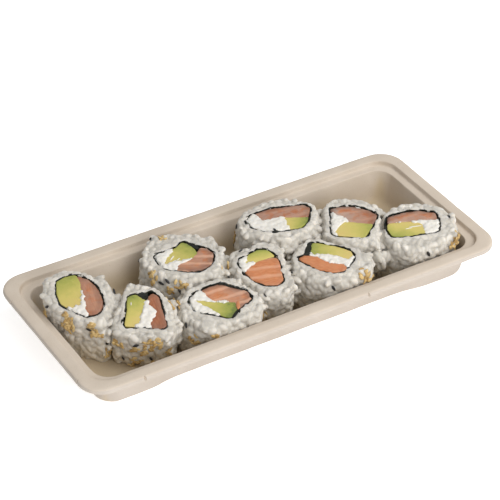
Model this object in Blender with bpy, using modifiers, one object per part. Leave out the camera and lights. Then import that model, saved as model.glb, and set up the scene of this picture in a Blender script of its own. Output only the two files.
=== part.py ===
"""Takeaway sushi tray: a pressed plant-fibre tray with nine inside-out rolls standing in it.

Units are metres, +Z is up, +X runs along the tray. The origin is under the middle of the tray,
on the surface that it stands on. Every roll stands on end: a ring of rice round a ring of nori,
with avocado, salmon and cream cheese inside it, all running from the floor of the tray to the cut.
"""

import math
import random

import bmesh
import bpy
from mathutils import Matrix, Vector

MM = 0.001

# Tray
TRAY_LENGTH = 220 * MM
TRAY_WIDTH = 97 * MM
SHEET = 1.2 * MM            # thickness of the pressed fibre
CORNER_STEPS = 4            # straight pieces in each rounded corner
FOOT_REACH = 22 * MM        # length along each side over which a corner bulges as a foot
FOOT_BLEND = 9 * MM         # length over which the bulge dies out
SHORT_SIDE_FOOT = 0.6       # reach of a foot along the short sides, as a share of the long ones
FOOT_BULGE = 2 * MM         # how far the wall stands out at the feet
# Upper surface of the sheet from the rim's edge to the floor, in mm:
# inset from the outer edge, height, corner radius, share of the foot's bulge
TRAY_PROFILE = (
    (0.0, 17.6, 12.0, 0.0),
    (0.2, 18.9, 11.9, 0.0),
    (0.9, 19.7, 11.6, 0.0),
    (2.4, 20.0, 11.0, 0.0),
    (5.8, 20.0, 10.0, 0.0),
    (6.5, 19.6, 9.6, 0.0),
    (7.1, 17.9, 9.2, 0.0),
    (10.2, 17.5, 8.6, 0.0),
    (10.9, 16.6, 8.4, 0.1),
    (14.0, 4.2, 8.2, 1.0),
    (15.2, 1.8, 8.0, 1.0),
    (17.2, 1.2, 7.6, 1.0),
)

# Rolls
GAP = 0.3 * MM              # clearance between pieces that touch
PRESS_GAP = 0.5 * MM        # clearance between two rolls that press on each other
NORI_SHEET = 0.8 * MM       # thickness of the nori, rolled about twice
RICE_AROUND = 30            # bumps round a roll, each about a grain wide
RICE_ROWS = 7               # rows of bumps from the floor to the cut
RICE_RELIEF = 0.7 * MM      # how far the bumps stand in or out
RICE_SWELL = 0.8 * MM       # how far the side swells out past the outline at the cut
ROW_START, ROW_SPAN = 0.05, 0.87    # where the rows begin and what they take of the height
FOOT_ROUND = 0.9 * MM       # how far the rice draws in at the floor
CUT_ROUND = 1.3 * MM        # how far the rice draws in at the cut's edge
CUT_RING = 2.2 * MM         # width of the outermost ring of the cut
CUT_LIFT = (-0.6 * MM, 0.25 * MM)   # how far the rim of the cut stands below or above it
RICE_OUTLINE_STEPS = 4      # pieces of curve between two points of a roll's outline
OUTLINE_STEPS = 1           # the same for nori and fillings
MITRE_LIMIT = 0.6           # keeps the corners of a grown outline from running out far
DRAW_STEP = 0.1 * MM        # step by which the rice draws in from walls and neighbours
NEIGHBOUR_REACH = 46        # mm between the centres of two rolls that can touch
OVERSHOOT = 1 * MM          # how far a cutter passes through both ends
WELD = 0.001 * MM           # points closer than this are one
ROUNDING = 1e-9             # slack for sums that come out a hair off
VIEW_BEARING = 59.5         # degrees: the way in which every cut rises, away from the viewer
SEED_SIZE = (3.0 * MM, 1.8 * MM, 1.1 * MM)
RANDOM_SEED = 41

# Each roll: centre of the cut and its height, rise of the cut in degrees, drift of the roll
# from floor to cut, and the outlines of what the cut shows, in mm from the cut's centre.
ROLLS = (
    dict(
        centre=(-84.7, 10.0), top=26.6, rise=8, drift=(-4, 0),
        rice=((-3, 20), (9, 13), (16, 4), (12, -10), (1, -20), (-8, -13), (-14, -1), (-13, 12)),
        nori=((-5, 14.5), (0, 15.3), (5, 14), (9.5, 7), (10, -1), (7, -11), (2, -14.5),
              (-4, -13), (-8, -7), (-10.5, 0), (-9, 7)),
        avocado=((-7, 14), (0, 17), (5, 15), (4.5, 8), (1, 0), (-2, -4.5), (-6, -4.5), (-12, 0),
                 (-11, 8)),
        salmon=((5, 15), (12, 9), (12, -3), (9, -13), (2, -17), (-2.3, -14), (-1, -8), (2.2, 0),
                (4, 7)),
    ),
    dict(
        centre=(-63.0, -12.2), top=24, rise=14, drift=(-2, -6),
        rice=((3, 19), (10, 12), (13, 3), (10, -10), (3, -18), (-9, -13), (-18, -4), (-13, 8),
              (-5, 17)),
        nori=((-3.5, 12.5), (0, 12.3), (5, 10), (8, 9.5), (10, 5), (6.5, -7), (5, -12.5),
              (2, -13.2), (-5, -8.5), (-13.2, -2.5), (-8, 5)),
        avocado=((-5, 14), (0, 14), (3.6, 6.5), (0, 2.5), (-6, -4.5), (-11, -4.5), (-16, -2),
                 (-10, 6)),
        salmon=((5, 7), (12, 8), (11, 0), (8, -7), (7, -15), (3, -15), (-2, -10.5), (-1, -6.5),
                (3, -3.5), (4.5, -1), (3.5, 3)),
        fold=((0, 12.8), (6, 10.5), (5.5, 7.5), (3.3, 6)),
    ),
    dict(
        centre=(-28.5, 10.9), top=26, rise=0, drift=(0, 0),
        rice=((-4, 24), (8, 20), (18, 11), (19, 0), (13, -13), (3, -20), (-9, -14), (-18, -3),
              (-18, 12)),
        nori=((-12, 10.5), (-5, 10.8), (0, 11), (4.5, 13.5), (8, 9), (12.5, 2.8), (13.5, -3),
              (8, -10.3), (0, -12.3), (-6, -8.5), (-13, -2), (-13.8, 4)),
        avocado=((4.8, 15), (6.5, 5), (6, 1), (3, -0.5), (-3, 0), (-11, 1.5), (-9, 4.5),
                 (-3, 8.5)),
        salmon=((6, 0.5), (9, 4), (14, 4), (16, -3), (12, -9), (7, -13), (2, -10.8), (-3, -9.5),
                (-7, -7), (-8, -4.5), (-5, -2), (0, -2)),
        fold=((5, 13.5), (9.5, 8.5), (9, 4), (7, 5)),
    ),
    dict(
        centre=(-32.4, -21.5), top=23, rise=6, drift=(0, -4),
        rice=((-10, 13), (2, 16), (12, 14), (19, 4), (20, -9), (9, -19), (-5, -17), (-15, -9),
              (-17, 3)),
        nori=((-9.5, 8.5), (-4, 11.2), (3, 11.6), (10, 10.4), (14, 4.5), (17.3, 0), (16.5, -6.5),
              (8, -9.7), (1, -13), (-4, -7.5), (-10.5, -1), (-10.8, 5)),
        avocado=((-7.5, 6.8), (-4, 4), (1, 0), (8, -4.2), (6.5, -9), (1, -15), (-1.5, -8),
                 (-4, -2)),
        salmon=((-1, 14), (6, 14), (12, 12), (20, 3), (20, -9), (10, -11), (6, -10.5), (8, -4.5),
                (5, -1), (1, 1), (-1, 4), (-1, 8)),
        fold=((4, 12.5), (11, 11.5), (18.5, 0.5), (15, 1), (9, 8.7)),
    ),
    dict(
        centre=(-1.7, -10.3), top=24.5, rise=8, drift=(0, -3),
        rice=((-8, 15), (3, 15), (12, 14), (16, 4), (13, -8), (7, -18), (0, -21), (-9, -13),
              (-12, 3)),
        nori=((-7, 9.5), (-1, 10.5), (5, 11.2), (9.5, 8.5), (10.8, 1), (7.8, -8), (5.5, -13.5),
              (1, -15.3), (-5, -11.5), (-8.2, -5), (-8.8, 3)),
        avocado=((-4.5, 6), (0, 10), (4, 13), (10, 11.5), (13, 5), (9, 3), (0, 4)),
        salmon=((-10, -1), (-5, 2), (0, 3.5), (6, 3), (12, 0), (12, -5), (9, -9), (7, -15),
                (1, -18), (-6, -14), (-11, -6)),
    ),
    dict(
        centre=(24.7, 14.7), top=27, rise=0, drift=(0, 0),
        rice=((-7, 16), (7, 16), (18, 10), (21, 0), (13, -13), (1, -18), (-12, -14), (-21, -1),
              (-17, 11)),
        nori=((-10, 10.5), (0, 10.3), (9, 7.6), (16.5, 5), (17.8, 0), (11, -8.5), (5, -12),
              (-3, -10), (-11, -6), (-16, 1), (-15.5, 7.5)),
        avocado=((2, 0), (5, -2), (12, -5.5), (13, -10), (5, -15), (0, -12.5), (0, -8)),
        salmon=((-8, 12), (0, 13), (9, 10), (18, 7), (21, 0), (15, -4.5), (10, -5), (6, -2),
                (2, 1), (-3, 2), (-8, 3.5)),
    ),
    dict(
        centre=(31.5, -20.4), top=24, rise=4, drift=(0, -4),
        rice=((-7, 17.5), (4, 14), (13, 4), (16, -8), (9, -18), (-4, -18), (-16, -10), (-19, 4)),
        nori=((-15, 7.5), (-10, 8.7), (-4, 14.8), (0, 13), (6, 6.5), (10.8, -0.5), (9.5, -6),
              (0, -12), (-6, -10.3), (-11, -4.5), (-14, 3)),
        avocado=((-3.5, 17), (4, 11), (12, 1), (9.5, -3), (6, -5.5), (0, 2.5), (-4, 5),
                 (-7, 6.5)),
        salmon=((-16, 9), (-9, 7), (-6, 4.5), (-5, 1), (-2, -4), (2, -7), (1, -14), (-7, -12.5),
                (-14, -5), (-17, 4)),
        fold=((-11.5, 8.5), (-4.5, 15.5), (-3, 13), (-8.5, 6.5)),
    ),
    dict(
        centre=(54.7, -3.7), top=26, rise=4, drift=(0, -4),
        rice=((-12, 13), (-1, 20), (10, 15), (17, 5), (14, -6), (4, -17), (-6, -16), (-18, -4)),
        nori=((-5, 14.5), (0, 13.7), (6, 10.3), (11, 4), (12.8, -2), (6, -8), (-2, -13.8),
              (-8, -9.8), (-15, -4), (-12, 3), (-8, 9)),
        avocado=((-12.5, -2.5), (-9, 0.5), (-4, 2), (0, -1.5), (6, -6), (8, -10), (-2, -17),
                 (-10, -12)),
        salmon=((-5, 9), (-5, 17), (3, 16), (9, 11), (16, 0), (11, -8), (5, -6), (1, -2),
                (-2, 1), (-2.5, 5)),
    ),
    dict(
        centre=(78.6, -19.3), top=25.5, rise=3, drift=(0, -4),
        rice=((-7, 15), (6, 15), (17, 8), (20, -3), (15, -15), (3, -19), (-11, -17), (-18, -6),
              (-15, 7)),
        nori=((-8.5, 11), (0, 10.5), (8, 7.6), (14, 2), (11.5, -5.5), (6.5, -11.5), (-1, -9.5),
              (-8, -7.5), (-15.3, -3.5), (-14, 3.5)),
        avocado=((-10, 5.8), (-5, 4), (0, 1.5), (3, -2), (1, -8), (-3, -12), (-10, -10),
                 (-18, -4), (-16, 4)),
        salmon=((-12, 7), (-10, 13), (2, 13), (12, 8.5), (16, 1), (10.5, -3), (7, -1.5),
                (0, 2.3), (-5, 4.8)),
    ),
)

# Sesame seeds that lie on the rice: number of the roll, bearing from its centre in degrees,
# height above the tray's floor in mm
SEEDS = (
    (1, 210, 16), (1, 226, 12), (1, 248, 15), (1, 262, 9), (1, 240, 20),
    (2, 196, 9), (2, 218, 12), (2, 236, 6), (2, 248, 13), (2, 262, 10), (2, 276, 15),
    (3, 222, 19), (3, 235, 20), (3, 208, 15), (3, 100, 22),
    (4, 205, 15), (4, 222, 17), (4, 160, 18), (4, 240, 18),
    (5, 250, 14), (5, 300, 18),
    (6, 200, 20), (6, 216, 15), (6, 92, 23),
    (7, 250, 20), (7, 275, 20), (7, 305, 19),
    (8, 60, 21), (8, 110, 20),
    (9, 275, 14), (9, 292, 11), (9, 335, 17), (9, 350, 14), (9, 8, 19), (9, 20, 15),
)

FLOOR = TRAY_PROFILE[-1][1] * MM + GAP


def clear_scene():
    for thing in list(bpy.data.objects):
        bpy.data.objects.remove(thing, do_unlink=True)


def make_collection(name):
    collection = bpy.data.collections.new(name)
    bpy.context.scene.collection.children.link(collection)
    return collection


def make_material(name, colour, roughness):
    material = bpy.data.materials.new(name)
    material.use_nodes = True
    shader = material.node_tree.nodes["Principled BSDF"]
    shader.inputs["Base Color"].default_value = (*colour, 1.0)
    shader.inputs["Roughness"].default_value = roughness
    shader.inputs["Metallic"].default_value = 0.0
    return material


def add_object(name, bm, collection, material=None):
    mesh = bpy.data.meshes.new(name)
    bm.to_mesh(mesh)
    bm.free()
    thing = bpy.data.objects.new(name, mesh)
    collection.objects.link(thing)
    if material:
        mesh.materials.append(material)
    return thing


# Tray

def tray_ring(inset, height, radius, bulge_share):
    """One level line of the tray: a rounded rectangle that bulges near its corners."""
    half = Vector((TRAY_LENGTH / 2 - inset, TRAY_WIDTH / 2 - inset))
    bulge = FOOT_BULGE * bulge_share
    points = []
    for quarter in range(4):
        sign = Vector(((1, -1, -1, 1)[quarter], (1, 1, -1, -1)[quarter]))
        centre = Vector((sign.x * (half.x + bulge - radius), sign.y * (half.y + bulge - radius)))
        for step in range(CORNER_STEPS + 1):
            turn = math.radians(90 * (quarter + step / CORNER_STEPS))
            points.append(centre + radius * Vector((math.cos(turn), math.sin(turn))))
        points += side_points(quarter, half, bulge)
    return [(point.x, point.y, height) for point in points]


def side_points(quarter, half, bulge):
    """Points on the side that follows a corner, where the foot's bulge comes and goes."""
    along_x = quarter % 2 == 0
    length = half.x if along_x else half.y
    stations = [length - FOOT_REACH, length - FOOT_REACH - FOOT_BLEND]
    if not along_x:
        stations = [length - SHORT_SIDE_FOOT * FOOT_REACH,
                    length - SHORT_SIDE_FOOT * FOOT_REACH - FOOT_BLEND]
    stations += [-station for station in reversed(stations)]
    outward = [bulge, 0.0, 0.0, bulge]
    if quarter in (0, 1):
        side = [(station, half.y + out) if along_x else (-half.x - out, station)
                for station, out in zip(stations, outward)]
    else:
        side = [(-station, -half.y - out) if along_x else (half.x + out, -station)
                for station, out in zip(stations, outward)]
    return [Vector(point) for point in side]


def make_tray(collection, material):
    """The sheet's upper surface as a loft of rings, closed by the floor, then given thickness."""
    bm = bmesh.new()
    rings = []
    for inset, height, radius, bulge in TRAY_PROFILE:
        points = tray_ring(inset * MM, height * MM, radius * MM, bulge)
        rings.append([bm.verts.new(point) for point in points])
    for outer, inner in zip(rings, rings[1:]):
        for i in range(len(outer)):
            bm.faces.new((outer[i - 1], outer[i], inner[i], inner[i - 1]))
    bm.faces.new(rings[-1])
    bmesh.ops.recalc_face_normals(bm, faces=bm.faces)
    tray = add_object("tray", bm, collection, material)
    solidify = tray.modifiers.new("Sheet", "SOLIDIFY")
    solidify.thickness = SHEET
    solidify.offset = -1.0
    solidify.use_even_offset = True
    return tray


def wall_at(height):
    """Inset of the tray's inner face from its outer edge at a height, and its corner radius."""
    levels = [(z * MM, inset * MM, radius * MM) for inset, z, radius, _ in TRAY_PROFILE[7:]]
    if height >= levels[0][0]:
        return levels[0][1:]
    for (z1, inset1, radius1), (z0, inset0, radius0) in zip(levels, levels[1:]):
        if height >= z0:
            share = (height - z0) / (z1 - z0)
            return inset0 + share * (inset1 - inset0), radius0 + share * (radius1 - radius0)
    return levels[-1][1:]


def inside_tray(point):
    inset, radius = wall_at(point.z - GAP)
    over_x = abs(point.x) - (TRAY_LENGTH / 2 - inset - GAP - radius)
    over_y = abs(point.y) - (TRAY_WIDTH / 2 - inset - GAP - radius)
    if over_x > 0 and over_y > 0:
        return math.hypot(over_x, over_y) <= radius
    return over_x <= radius and over_y <= radius


# Outlines

def smooth_loop(points, steps=OUTLINE_STEPS):
    """A closed curve through the points, as a list of vectors in metres."""
    anchors = [Vector(point) * MM for point in points]
    count = len(anchors)
    loop = []
    for i in range(count):
        before, start, end, after = (anchors[(i + k) % count] for k in (-1, 0, 1, 2))
        for step in range(steps):
            t = step / steps
            loop.append(0.5 * (2 * start + (end - before) * t
                               + (2 * before - 5 * start + 4 * end - after) * t ** 2
                               + (3 * start - before - 3 * end + after) * t ** 3))
    return loop if signed_area(loop) > 0 else loop[::-1]


def signed_area(loop):
    return sum(a.cross(b) for a, b in zip(loop, loop[1:] + loop[:1])) / 2


def grow(loop, amount):
    """The loop moved outward by an amount, or inward where that is negative."""
    grown = []
    for i, point in enumerate(loop):
        ahead = (loop[(i + 1) % len(loop)] - point).normalized()
        behind = (point - loop[i - 1]).normalized()
        along = (ahead + behind).normalized()
        normal = Vector((along.y, -along.x))
        spread = max(MITRE_LIMIT, Vector((ahead.y, -ahead.x)).dot(normal))
        grown.append(point + normal * amount / spread)
    return grown


def reach(loop, bearing):
    """Distance from the centre to the loop along a bearing."""
    ray = Vector((math.cos(bearing), math.sin(bearing)))
    furthest = 0.0
    for a, b in zip(loop, loop[1:] + loop[:1]):
        edge = b - a
        crossing = ray.cross(edge)
        if crossing == 0:
            continue
        distance = a.cross(edge) / crossing
        share = a.cross(ray) / crossing
        if distance > 0 and -ROUNDING <= share <= 1 + ROUNDING:
            furthest = max(furthest, distance)
    return furthest


# Where a roll stands

def settle(roll, point):
    """From a straight upright roll to its place: slanted cut, leaning body, centre in the tray."""
    height = roll["top"] * MM - FLOOR
    bearing = math.radians(VIEW_BEARING)
    away = point[0] * math.cos(bearing) + point[1] * math.sin(bearing)
    cut = height + away * math.tan(math.radians(roll["rise"]))
    z = FLOOR + point[2] * cut / height
    share = (z - roll["top"] * MM) / height
    return Vector((
        (roll["centre"][0] + roll["drift"][0] * share) * MM + point[0],
        (roll["centre"][1] + roll["drift"][1] * share) * MM + point[1],
        z,
    ))


def centre_at(roll, z):
    share = (z - roll["top"] * MM) / (roll["top"] * MM - FLOOR)
    return Vector((roll["centre"][0] + roll["drift"][0] * share,
                   roll["centre"][1] + roll["drift"][1] * share)) * MM


def extent(roll, direction):
    """How far the nori of a roll reaches in a direction."""
    return max(point.dot(direction) for point in roll["nori_loop"])


def clear_of_neighbours(roll, point):
    """Two rolls press on each other along a plane midway between their rings of nori."""
    here = centre_at(roll, point.z)
    flat = Vector((point.x, point.y))
    for other in roll["neighbours"]:
        there = centre_at(other, point.z)
        direction = (there - here).normalized()
        own, theirs = extent(roll, direction), extent(other, -direction)
        middle = own + ((there - here).length - own - theirs) / 2
        if (flat - here).dot(direction) > middle - PRESS_GAP / 2:
            return False
    return True


def limited(roll, bearing, distance, z):
    """The distance drawn in until the point stands clear of the walls and of the neighbours."""
    ray = Vector((math.cos(bearing), math.sin(bearing)))
    while distance > 0:
        place = settle(roll, (ray.x * distance, ray.y * distance, z))
        if inside_tray(place) and clear_of_neighbours(roll, place):
            break
        distance -= DRAW_STEP
    return distance


# Pieces of a roll

def prism(name, loop, low, high, collection):
    """A flat outline as a filled curve with depth, made a mesh whose caps are welded."""
    curve = bpy.data.curves.new(name, "CURVE")
    curve.dimensions = "2D"
    curve.fill_mode = "BOTH"
    curve.extrude = (high - low) / 2
    spline = curve.splines.new("POLY")
    spline.points.add(len(loop) - 1)
    for point, place in zip(spline.points, loop):
        point.co = (place.x, place.y, 0.0, 1.0)
    spline.use_cyclic_u = True
    drawn = bpy.data.objects.new(name, curve)
    collection.objects.link(drawn)
    drawn.location.z = (high + low) / 2
    bpy.context.view_layer.update()
    evaluated = drawn.evaluated_get(bpy.context.evaluated_depsgraph_get())
    mesh = bpy.data.meshes.new_from_object(evaluated)
    mesh.transform(drawn.matrix_world)
    bpy.data.objects.remove(drawn, do_unlink=True)
    bm = bmesh.new()
    bm.from_mesh(mesh)
    bmesh.ops.remove_doubles(bm, verts=bm.verts, dist=WELD)
    bmesh.ops.recalc_face_normals(bm, faces=bm.faces)
    bm.to_mesh(mesh)
    bm.free()
    mesh.name = name
    thing = bpy.data.objects.new(name, mesh)
    collection.objects.link(thing)
    return thing


def combine(thing, operation, tools, solver="EXACT"):
    """A Boolean with one cutter or with a collection of them, applied to the mesh."""
    modifier = thing.modifiers.new("Boolean", "BOOLEAN")
    modifier.operation = operation
    modifier.solver = solver
    if isinstance(tools, bpy.types.Collection):
        modifier.operand_type = "COLLECTION"
        modifier.collection = tools
    else:
        modifier.object = tools
    bpy.context.view_layer.update()
    evaluated = thing.evaluated_get(bpy.context.evaluated_depsgraph_get())
    mesh = bpy.data.meshes.new_from_object(evaluated)
    thing.modifiers.clear()
    thing.data = mesh


def keep_largest(bm):
    """Drops loose scraps that the cuts left, and keeps the largest body."""
    bmesh.ops.remove_doubles(bm, verts=bm.verts, dist=WELD)
    unseen = set(bm.verts)
    bodies = []
    while unseen:
        body, front = set(), [unseen.pop()]
        while front:
            vert = front.pop()
            body.add(vert)
            for edge in vert.link_edges:
                other = edge.other_vert(vert)
                if other in unseen:
                    unseen.discard(other)
                    front.append(other)
        bodies.append(body)
    bodies.sort(key=len, reverse=True)
    loose = [vert for body in bodies[1:] for vert in body]
    bmesh.ops.delete(bm, geom=loose, context="VERTS")


def finish_piece(thing, roll, name, collection, material):
    """Sets a straight piece in its place in the tray."""
    bm = bmesh.new()
    bm.from_mesh(thing.data)
    bpy.data.objects.remove(thing, do_unlink=True)
    keep_largest(bm)
    for vert in bm.verts:
        vert.co = settle(roll, vert.co)
    bmesh.ops.triangulate(bm, faces=bm.faces)
    bmesh.ops.recalc_face_normals(bm, faces=bm.faces)
    return add_object(name, bm, collection, material)


def rice_rows(height):
    """Heights of the rows of bumps, and how far each is drawn in."""
    rows = [(0.0, FOOT_ROUND), (ROW_START * height, 0.0)]
    for row in range(1, RICE_ROWS):
        rows.append(((ROW_START + ROW_SPAN * row / RICE_ROWS) * height, 0.0))
    rows += [(height, CUT_ROUND), (height, CUT_ROUND + CUT_RING)]
    return rows


def rice_body(roll, draw):
    """A bumpy upright loaf whose outline is the roll's, level by level."""
    height = roll["top"] * MM - FLOOR
    loop = smooth_loop(roll["rice"], RICE_OUTLINE_STEPS)
    bm = bmesh.new()
    rings = []
    rows = rice_rows(height)
    for level, (z, drawn_in) in enumerate(rows):
        ring = []
        for i in range(RICE_AROUND):
            bearing = math.tau * (i + 0.5 * (level % 2)) / RICE_AROUND
            distance = reach(loop, bearing) + RICE_SWELL + draw.uniform(-RICE_RELIEF, RICE_RELIEF)
            distance = limited(roll, bearing, distance, z) - drawn_in
            lift = 0.0
            if level >= len(rows) - 2:
                lift = draw.uniform(*CUT_LIFT)
            ring.append(bm.verts.new((distance * math.cos(bearing), distance * math.sin(bearing),
                                      z + lift)))
        rings.append(ring)
    for level, (low, high) in enumerate(zip(rings, rings[1:])):
        join_rows(bm, low, high, level % 2)
    for ring, z in ((rings[0][::-1], 0.0), (rings[-1], height)):
        middle = bm.verts.new((0, 0, z))
        for i in range(RICE_AROUND):
            bm.faces.new((ring[i - 1], ring[i], middle))
    bmesh.ops.recalc_face_normals(bm, faces=bm.faces)
    return bm


def join_rows(bm, low, high, shifted):
    """Triangles between two rows of bumps that stand half a step apart."""
    for i in range(len(low)):
        after = (i + 1) % len(low)
        if shifted:
            bm.faces.new((low[i], high[after], high[i]))
            bm.faces.new((low[i], low[after], high[after]))
        else:
            bm.faces.new((low[i], low[after], high[i]))
            bm.faces.new((low[after], high[after], high[i]))


def seed_bodies(number, roll, loop, collection, draw):
    """Sesame seeds half sunk in the side of the rice, each turned its own way."""
    for seed_roll, bearing, height in SEEDS:
        if seed_roll != number:
            continue
        turn = math.radians(bearing)
        z = height * MM
        distance = limited(roll, turn, reach(loop, turn) + RICE_SWELL, z)
        place = Matrix.Translation((distance * math.cos(turn), distance * math.sin(turn), z))
        facing = Matrix.Rotation(turn, 4, "Z") @ Matrix.Rotation(math.pi / 2, 4, "Y")
        spin = Matrix.Rotation(draw.uniform(0, math.pi), 4, "Z")
        size = Matrix.Diagonal((*(length / 2 for length in SEED_SIZE), 1.0))
        bm = bmesh.new()
        bmesh.ops.create_icosphere(bm, subdivisions=1, radius=1.0,
                                   matrix=place @ facing @ spin @ size)
        add_object(f"seed_{number}_{bearing}", bm, collection)


def make_rice(number, roll, parts, cutters, material, draw):
    height = roll["top"] * MM - FLOOR
    rice = add_object("rice", rice_body(roll, draw), parts)
    hole = prism("hole", grow(roll["nori_loop"], GAP), -OVERSHOOT, height + OVERSHOOT, cutters)
    combine(rice, "DIFFERENCE", hole)
    bpy.data.objects.remove(hole, do_unlink=True)
    seeds = make_collection("seeds")
    seed_bodies(number, roll, smooth_loop(roll["rice"], RICE_OUTLINE_STEPS), seeds, draw)
    if seeds.objects:
        combine(rice, "UNION", seeds, "MANIFOLD")
    for seed in list(seeds.objects):
        bpy.data.objects.remove(seed, do_unlink=True)
    bpy.data.collections.remove(seeds)
    return finish_piece(rice, roll, f"roll_{number}_rice", parts, material)


def make_fillings(number, roll, parts, cutters, materials):
    """Nori ring and what it holds, each cut clear of the piece before it."""
    height = roll["top"] * MM - FLOOR
    below, above = -OVERSHOOT, height + OVERSHOOT
    nori_loop = roll["nori_loop"]
    avocado_loop = smooth_loop(roll["avocado"])
    salmon_loop = smooth_loop(roll["salmon"])
    fold_loop = smooth_loop(roll["fold"]) if "fold" in roll else None

    def cutter(loop, amount):
        return prism("cutter", grow(loop, amount), below, above, cutters)

    def cut(thing, operation, loop, amount):
        tool = cutter(loop, amount)
        combine(thing, operation, tool)
        bpy.data.objects.remove(tool, do_unlink=True)

    lining = -NORI_SHEET - GAP
    nori = prism("nori", nori_loop, 0.0, height, parts)
    if fold_loop:
        hollow = cutter(nori_loop, -NORI_SHEET)
        cut(hollow, "DIFFERENCE", fold_loop, 0.0)
        combine(nori, "DIFFERENCE", hollow)
        bpy.data.objects.remove(hollow, do_unlink=True)
    else:
        cut(nori, "DIFFERENCE", nori_loop, -NORI_SHEET)

    avocado = prism("avocado", avocado_loop, 0.0, height, parts)
    cut(avocado, "INTERSECT", nori_loop, lining)
    salmon = prism("salmon", salmon_loop, 0.0, height, parts)
    cut(salmon, "INTERSECT", nori_loop, lining)
    cut(salmon, "DIFFERENCE", avocado_loop, GAP)
    cheese = prism("cheese", grow(nori_loop, lining), 0.0, height, parts)
    cut(cheese, "DIFFERENCE", avocado_loop, GAP)
    cut(cheese, "DIFFERENCE", salmon_loop, GAP)
    for thing in (avocado, salmon, cheese):
        if fold_loop:
            cut(thing, "DIFFERENCE", fold_loop, GAP)
    for piece, thing in (("nori", nori), ("avocado", avocado), ("salmon", salmon),
                         ("cheese", cheese)):
        finish_piece(thing, roll, f"roll_{number}_{piece}", parts, materials[piece])


def make_rolls(parts, cutters, materials):
    rolls = [dict(roll, nori_loop=smooth_loop(roll["nori"])) for roll in ROLLS]
    for roll in rolls:
        roll["neighbours"] = [
            other for other in rolls if other is not roll
            and (Vector(other["centre"]) - Vector(roll["centre"])).length < NEIGHBOUR_REACH
        ]
    for number, roll in enumerate(rolls, start=1):
        draw = random.Random(RANDOM_SEED + number)
        make_rice(number, roll, parts, cutters, materials["rice"], draw)
        make_fillings(number, roll, parts, cutters, materials)


def main():
    clear_scene()
    parts = make_collection("takeaway_sushi_tray")
    cutters = make_collection("cutters")
    materials = {
        "pulp": make_material("pulp", (0.66, 0.57, 0.45), 0.85),
        "rice": make_material("rice", (0.80, 0.80, 0.77), 0.45),
        "nori": make_material("nori", (0.012, 0.016, 0.014), 0.5),
        "salmon": make_material("salmon", (0.72, 0.26, 0.12), 0.35),
        "avocado": make_material("avocado", (0.56, 0.60, 0.14), 0.45),
        "cheese": make_material("cheese", (0.86, 0.84, 0.77), 0.5),
    }
    make_tray(parts, materials["pulp"])
    make_rolls(parts, cutters, materials)


main()
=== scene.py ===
# %% [markdown]
# # A takeaway sushi tray
# Nine inside-out rolls stand on end in a shallow tray of pressed plant fibre. Each is a ring of rice
# round a sheet of nori, with avocado, salmon and cream cheese inside. A plain solid model of all this
# already exists, and it fixes every place and size. This lesson loads it and gives each piece the
# form and finish that the eye expects: soft fibre, single grains, wet fish, torn seaweed, sesame.

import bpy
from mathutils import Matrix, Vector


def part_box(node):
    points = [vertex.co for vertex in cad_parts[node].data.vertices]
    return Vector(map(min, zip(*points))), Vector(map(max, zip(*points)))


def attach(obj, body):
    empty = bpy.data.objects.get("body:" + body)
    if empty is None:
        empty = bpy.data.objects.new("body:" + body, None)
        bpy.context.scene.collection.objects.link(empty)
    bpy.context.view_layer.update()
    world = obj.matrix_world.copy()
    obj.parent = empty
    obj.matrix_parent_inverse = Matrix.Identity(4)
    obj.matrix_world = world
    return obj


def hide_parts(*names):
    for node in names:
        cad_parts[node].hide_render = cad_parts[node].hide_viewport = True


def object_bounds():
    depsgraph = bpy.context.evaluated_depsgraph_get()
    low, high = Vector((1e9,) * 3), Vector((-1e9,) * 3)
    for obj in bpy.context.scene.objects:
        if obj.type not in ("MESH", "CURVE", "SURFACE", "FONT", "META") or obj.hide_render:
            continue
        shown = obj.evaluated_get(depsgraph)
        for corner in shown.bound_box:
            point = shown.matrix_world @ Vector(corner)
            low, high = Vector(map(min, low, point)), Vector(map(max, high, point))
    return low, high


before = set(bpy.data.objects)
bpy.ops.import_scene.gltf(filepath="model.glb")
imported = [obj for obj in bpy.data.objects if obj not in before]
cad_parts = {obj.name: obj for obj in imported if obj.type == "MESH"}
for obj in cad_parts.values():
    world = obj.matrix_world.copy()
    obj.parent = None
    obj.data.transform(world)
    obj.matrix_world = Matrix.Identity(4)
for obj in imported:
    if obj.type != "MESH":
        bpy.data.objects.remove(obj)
solid_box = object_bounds()
print("loaded", len(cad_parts), "solids, box",
      [tuple(round(v, 4) for v in corner) for corner in solid_box])

# %% [markdown]
# ## Working in millimetres
# Blender counts in metres, and food is small, so sizes are written as so many millimetres. Python's
# random numbers and Blender's noise start from a fixed seed, which gives the same grains, seeds and
# wrinkles each time.

# %% Units and libraries
import math
import random

import bpy
import numpy as np
from mathutils import Matrix, Vector, noise
from mathutils.bvhtree import BVHTree
from mathutils.kdtree import KDTree

MM = 0.001
ROLLS = range(1, 10)
SEED = 7
draw = random.Random(SEED)
noise.seed_set(SEED)
print("rolls", list(ROLLS), "random seed", SEED)

# %% [markdown]
# ## A few hand tools
# An operator acts on whatever is selected, so each step first picks one piece and nothing else.
# A piece made from a solid starts as a clean copy of its points and faces, welded where they meet.
# Modifiers then do what hands would do, and each is applied at once, so the mesh itself is the result.

# %% Pick, copy and shape
def pick(piece):
    bpy.ops.object.select_all(action="DESELECT")
    piece.select_set(True)
    bpy.context.view_layer.objects.active = piece


def piece_from(name, points, faces):
    mesh = bpy.data.meshes.new(name)
    mesh.from_pydata(points, [], faces)
    piece = bpy.data.objects.new(name, mesh)
    bpy.context.scene.collection.objects.link(piece)
    return piece


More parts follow.
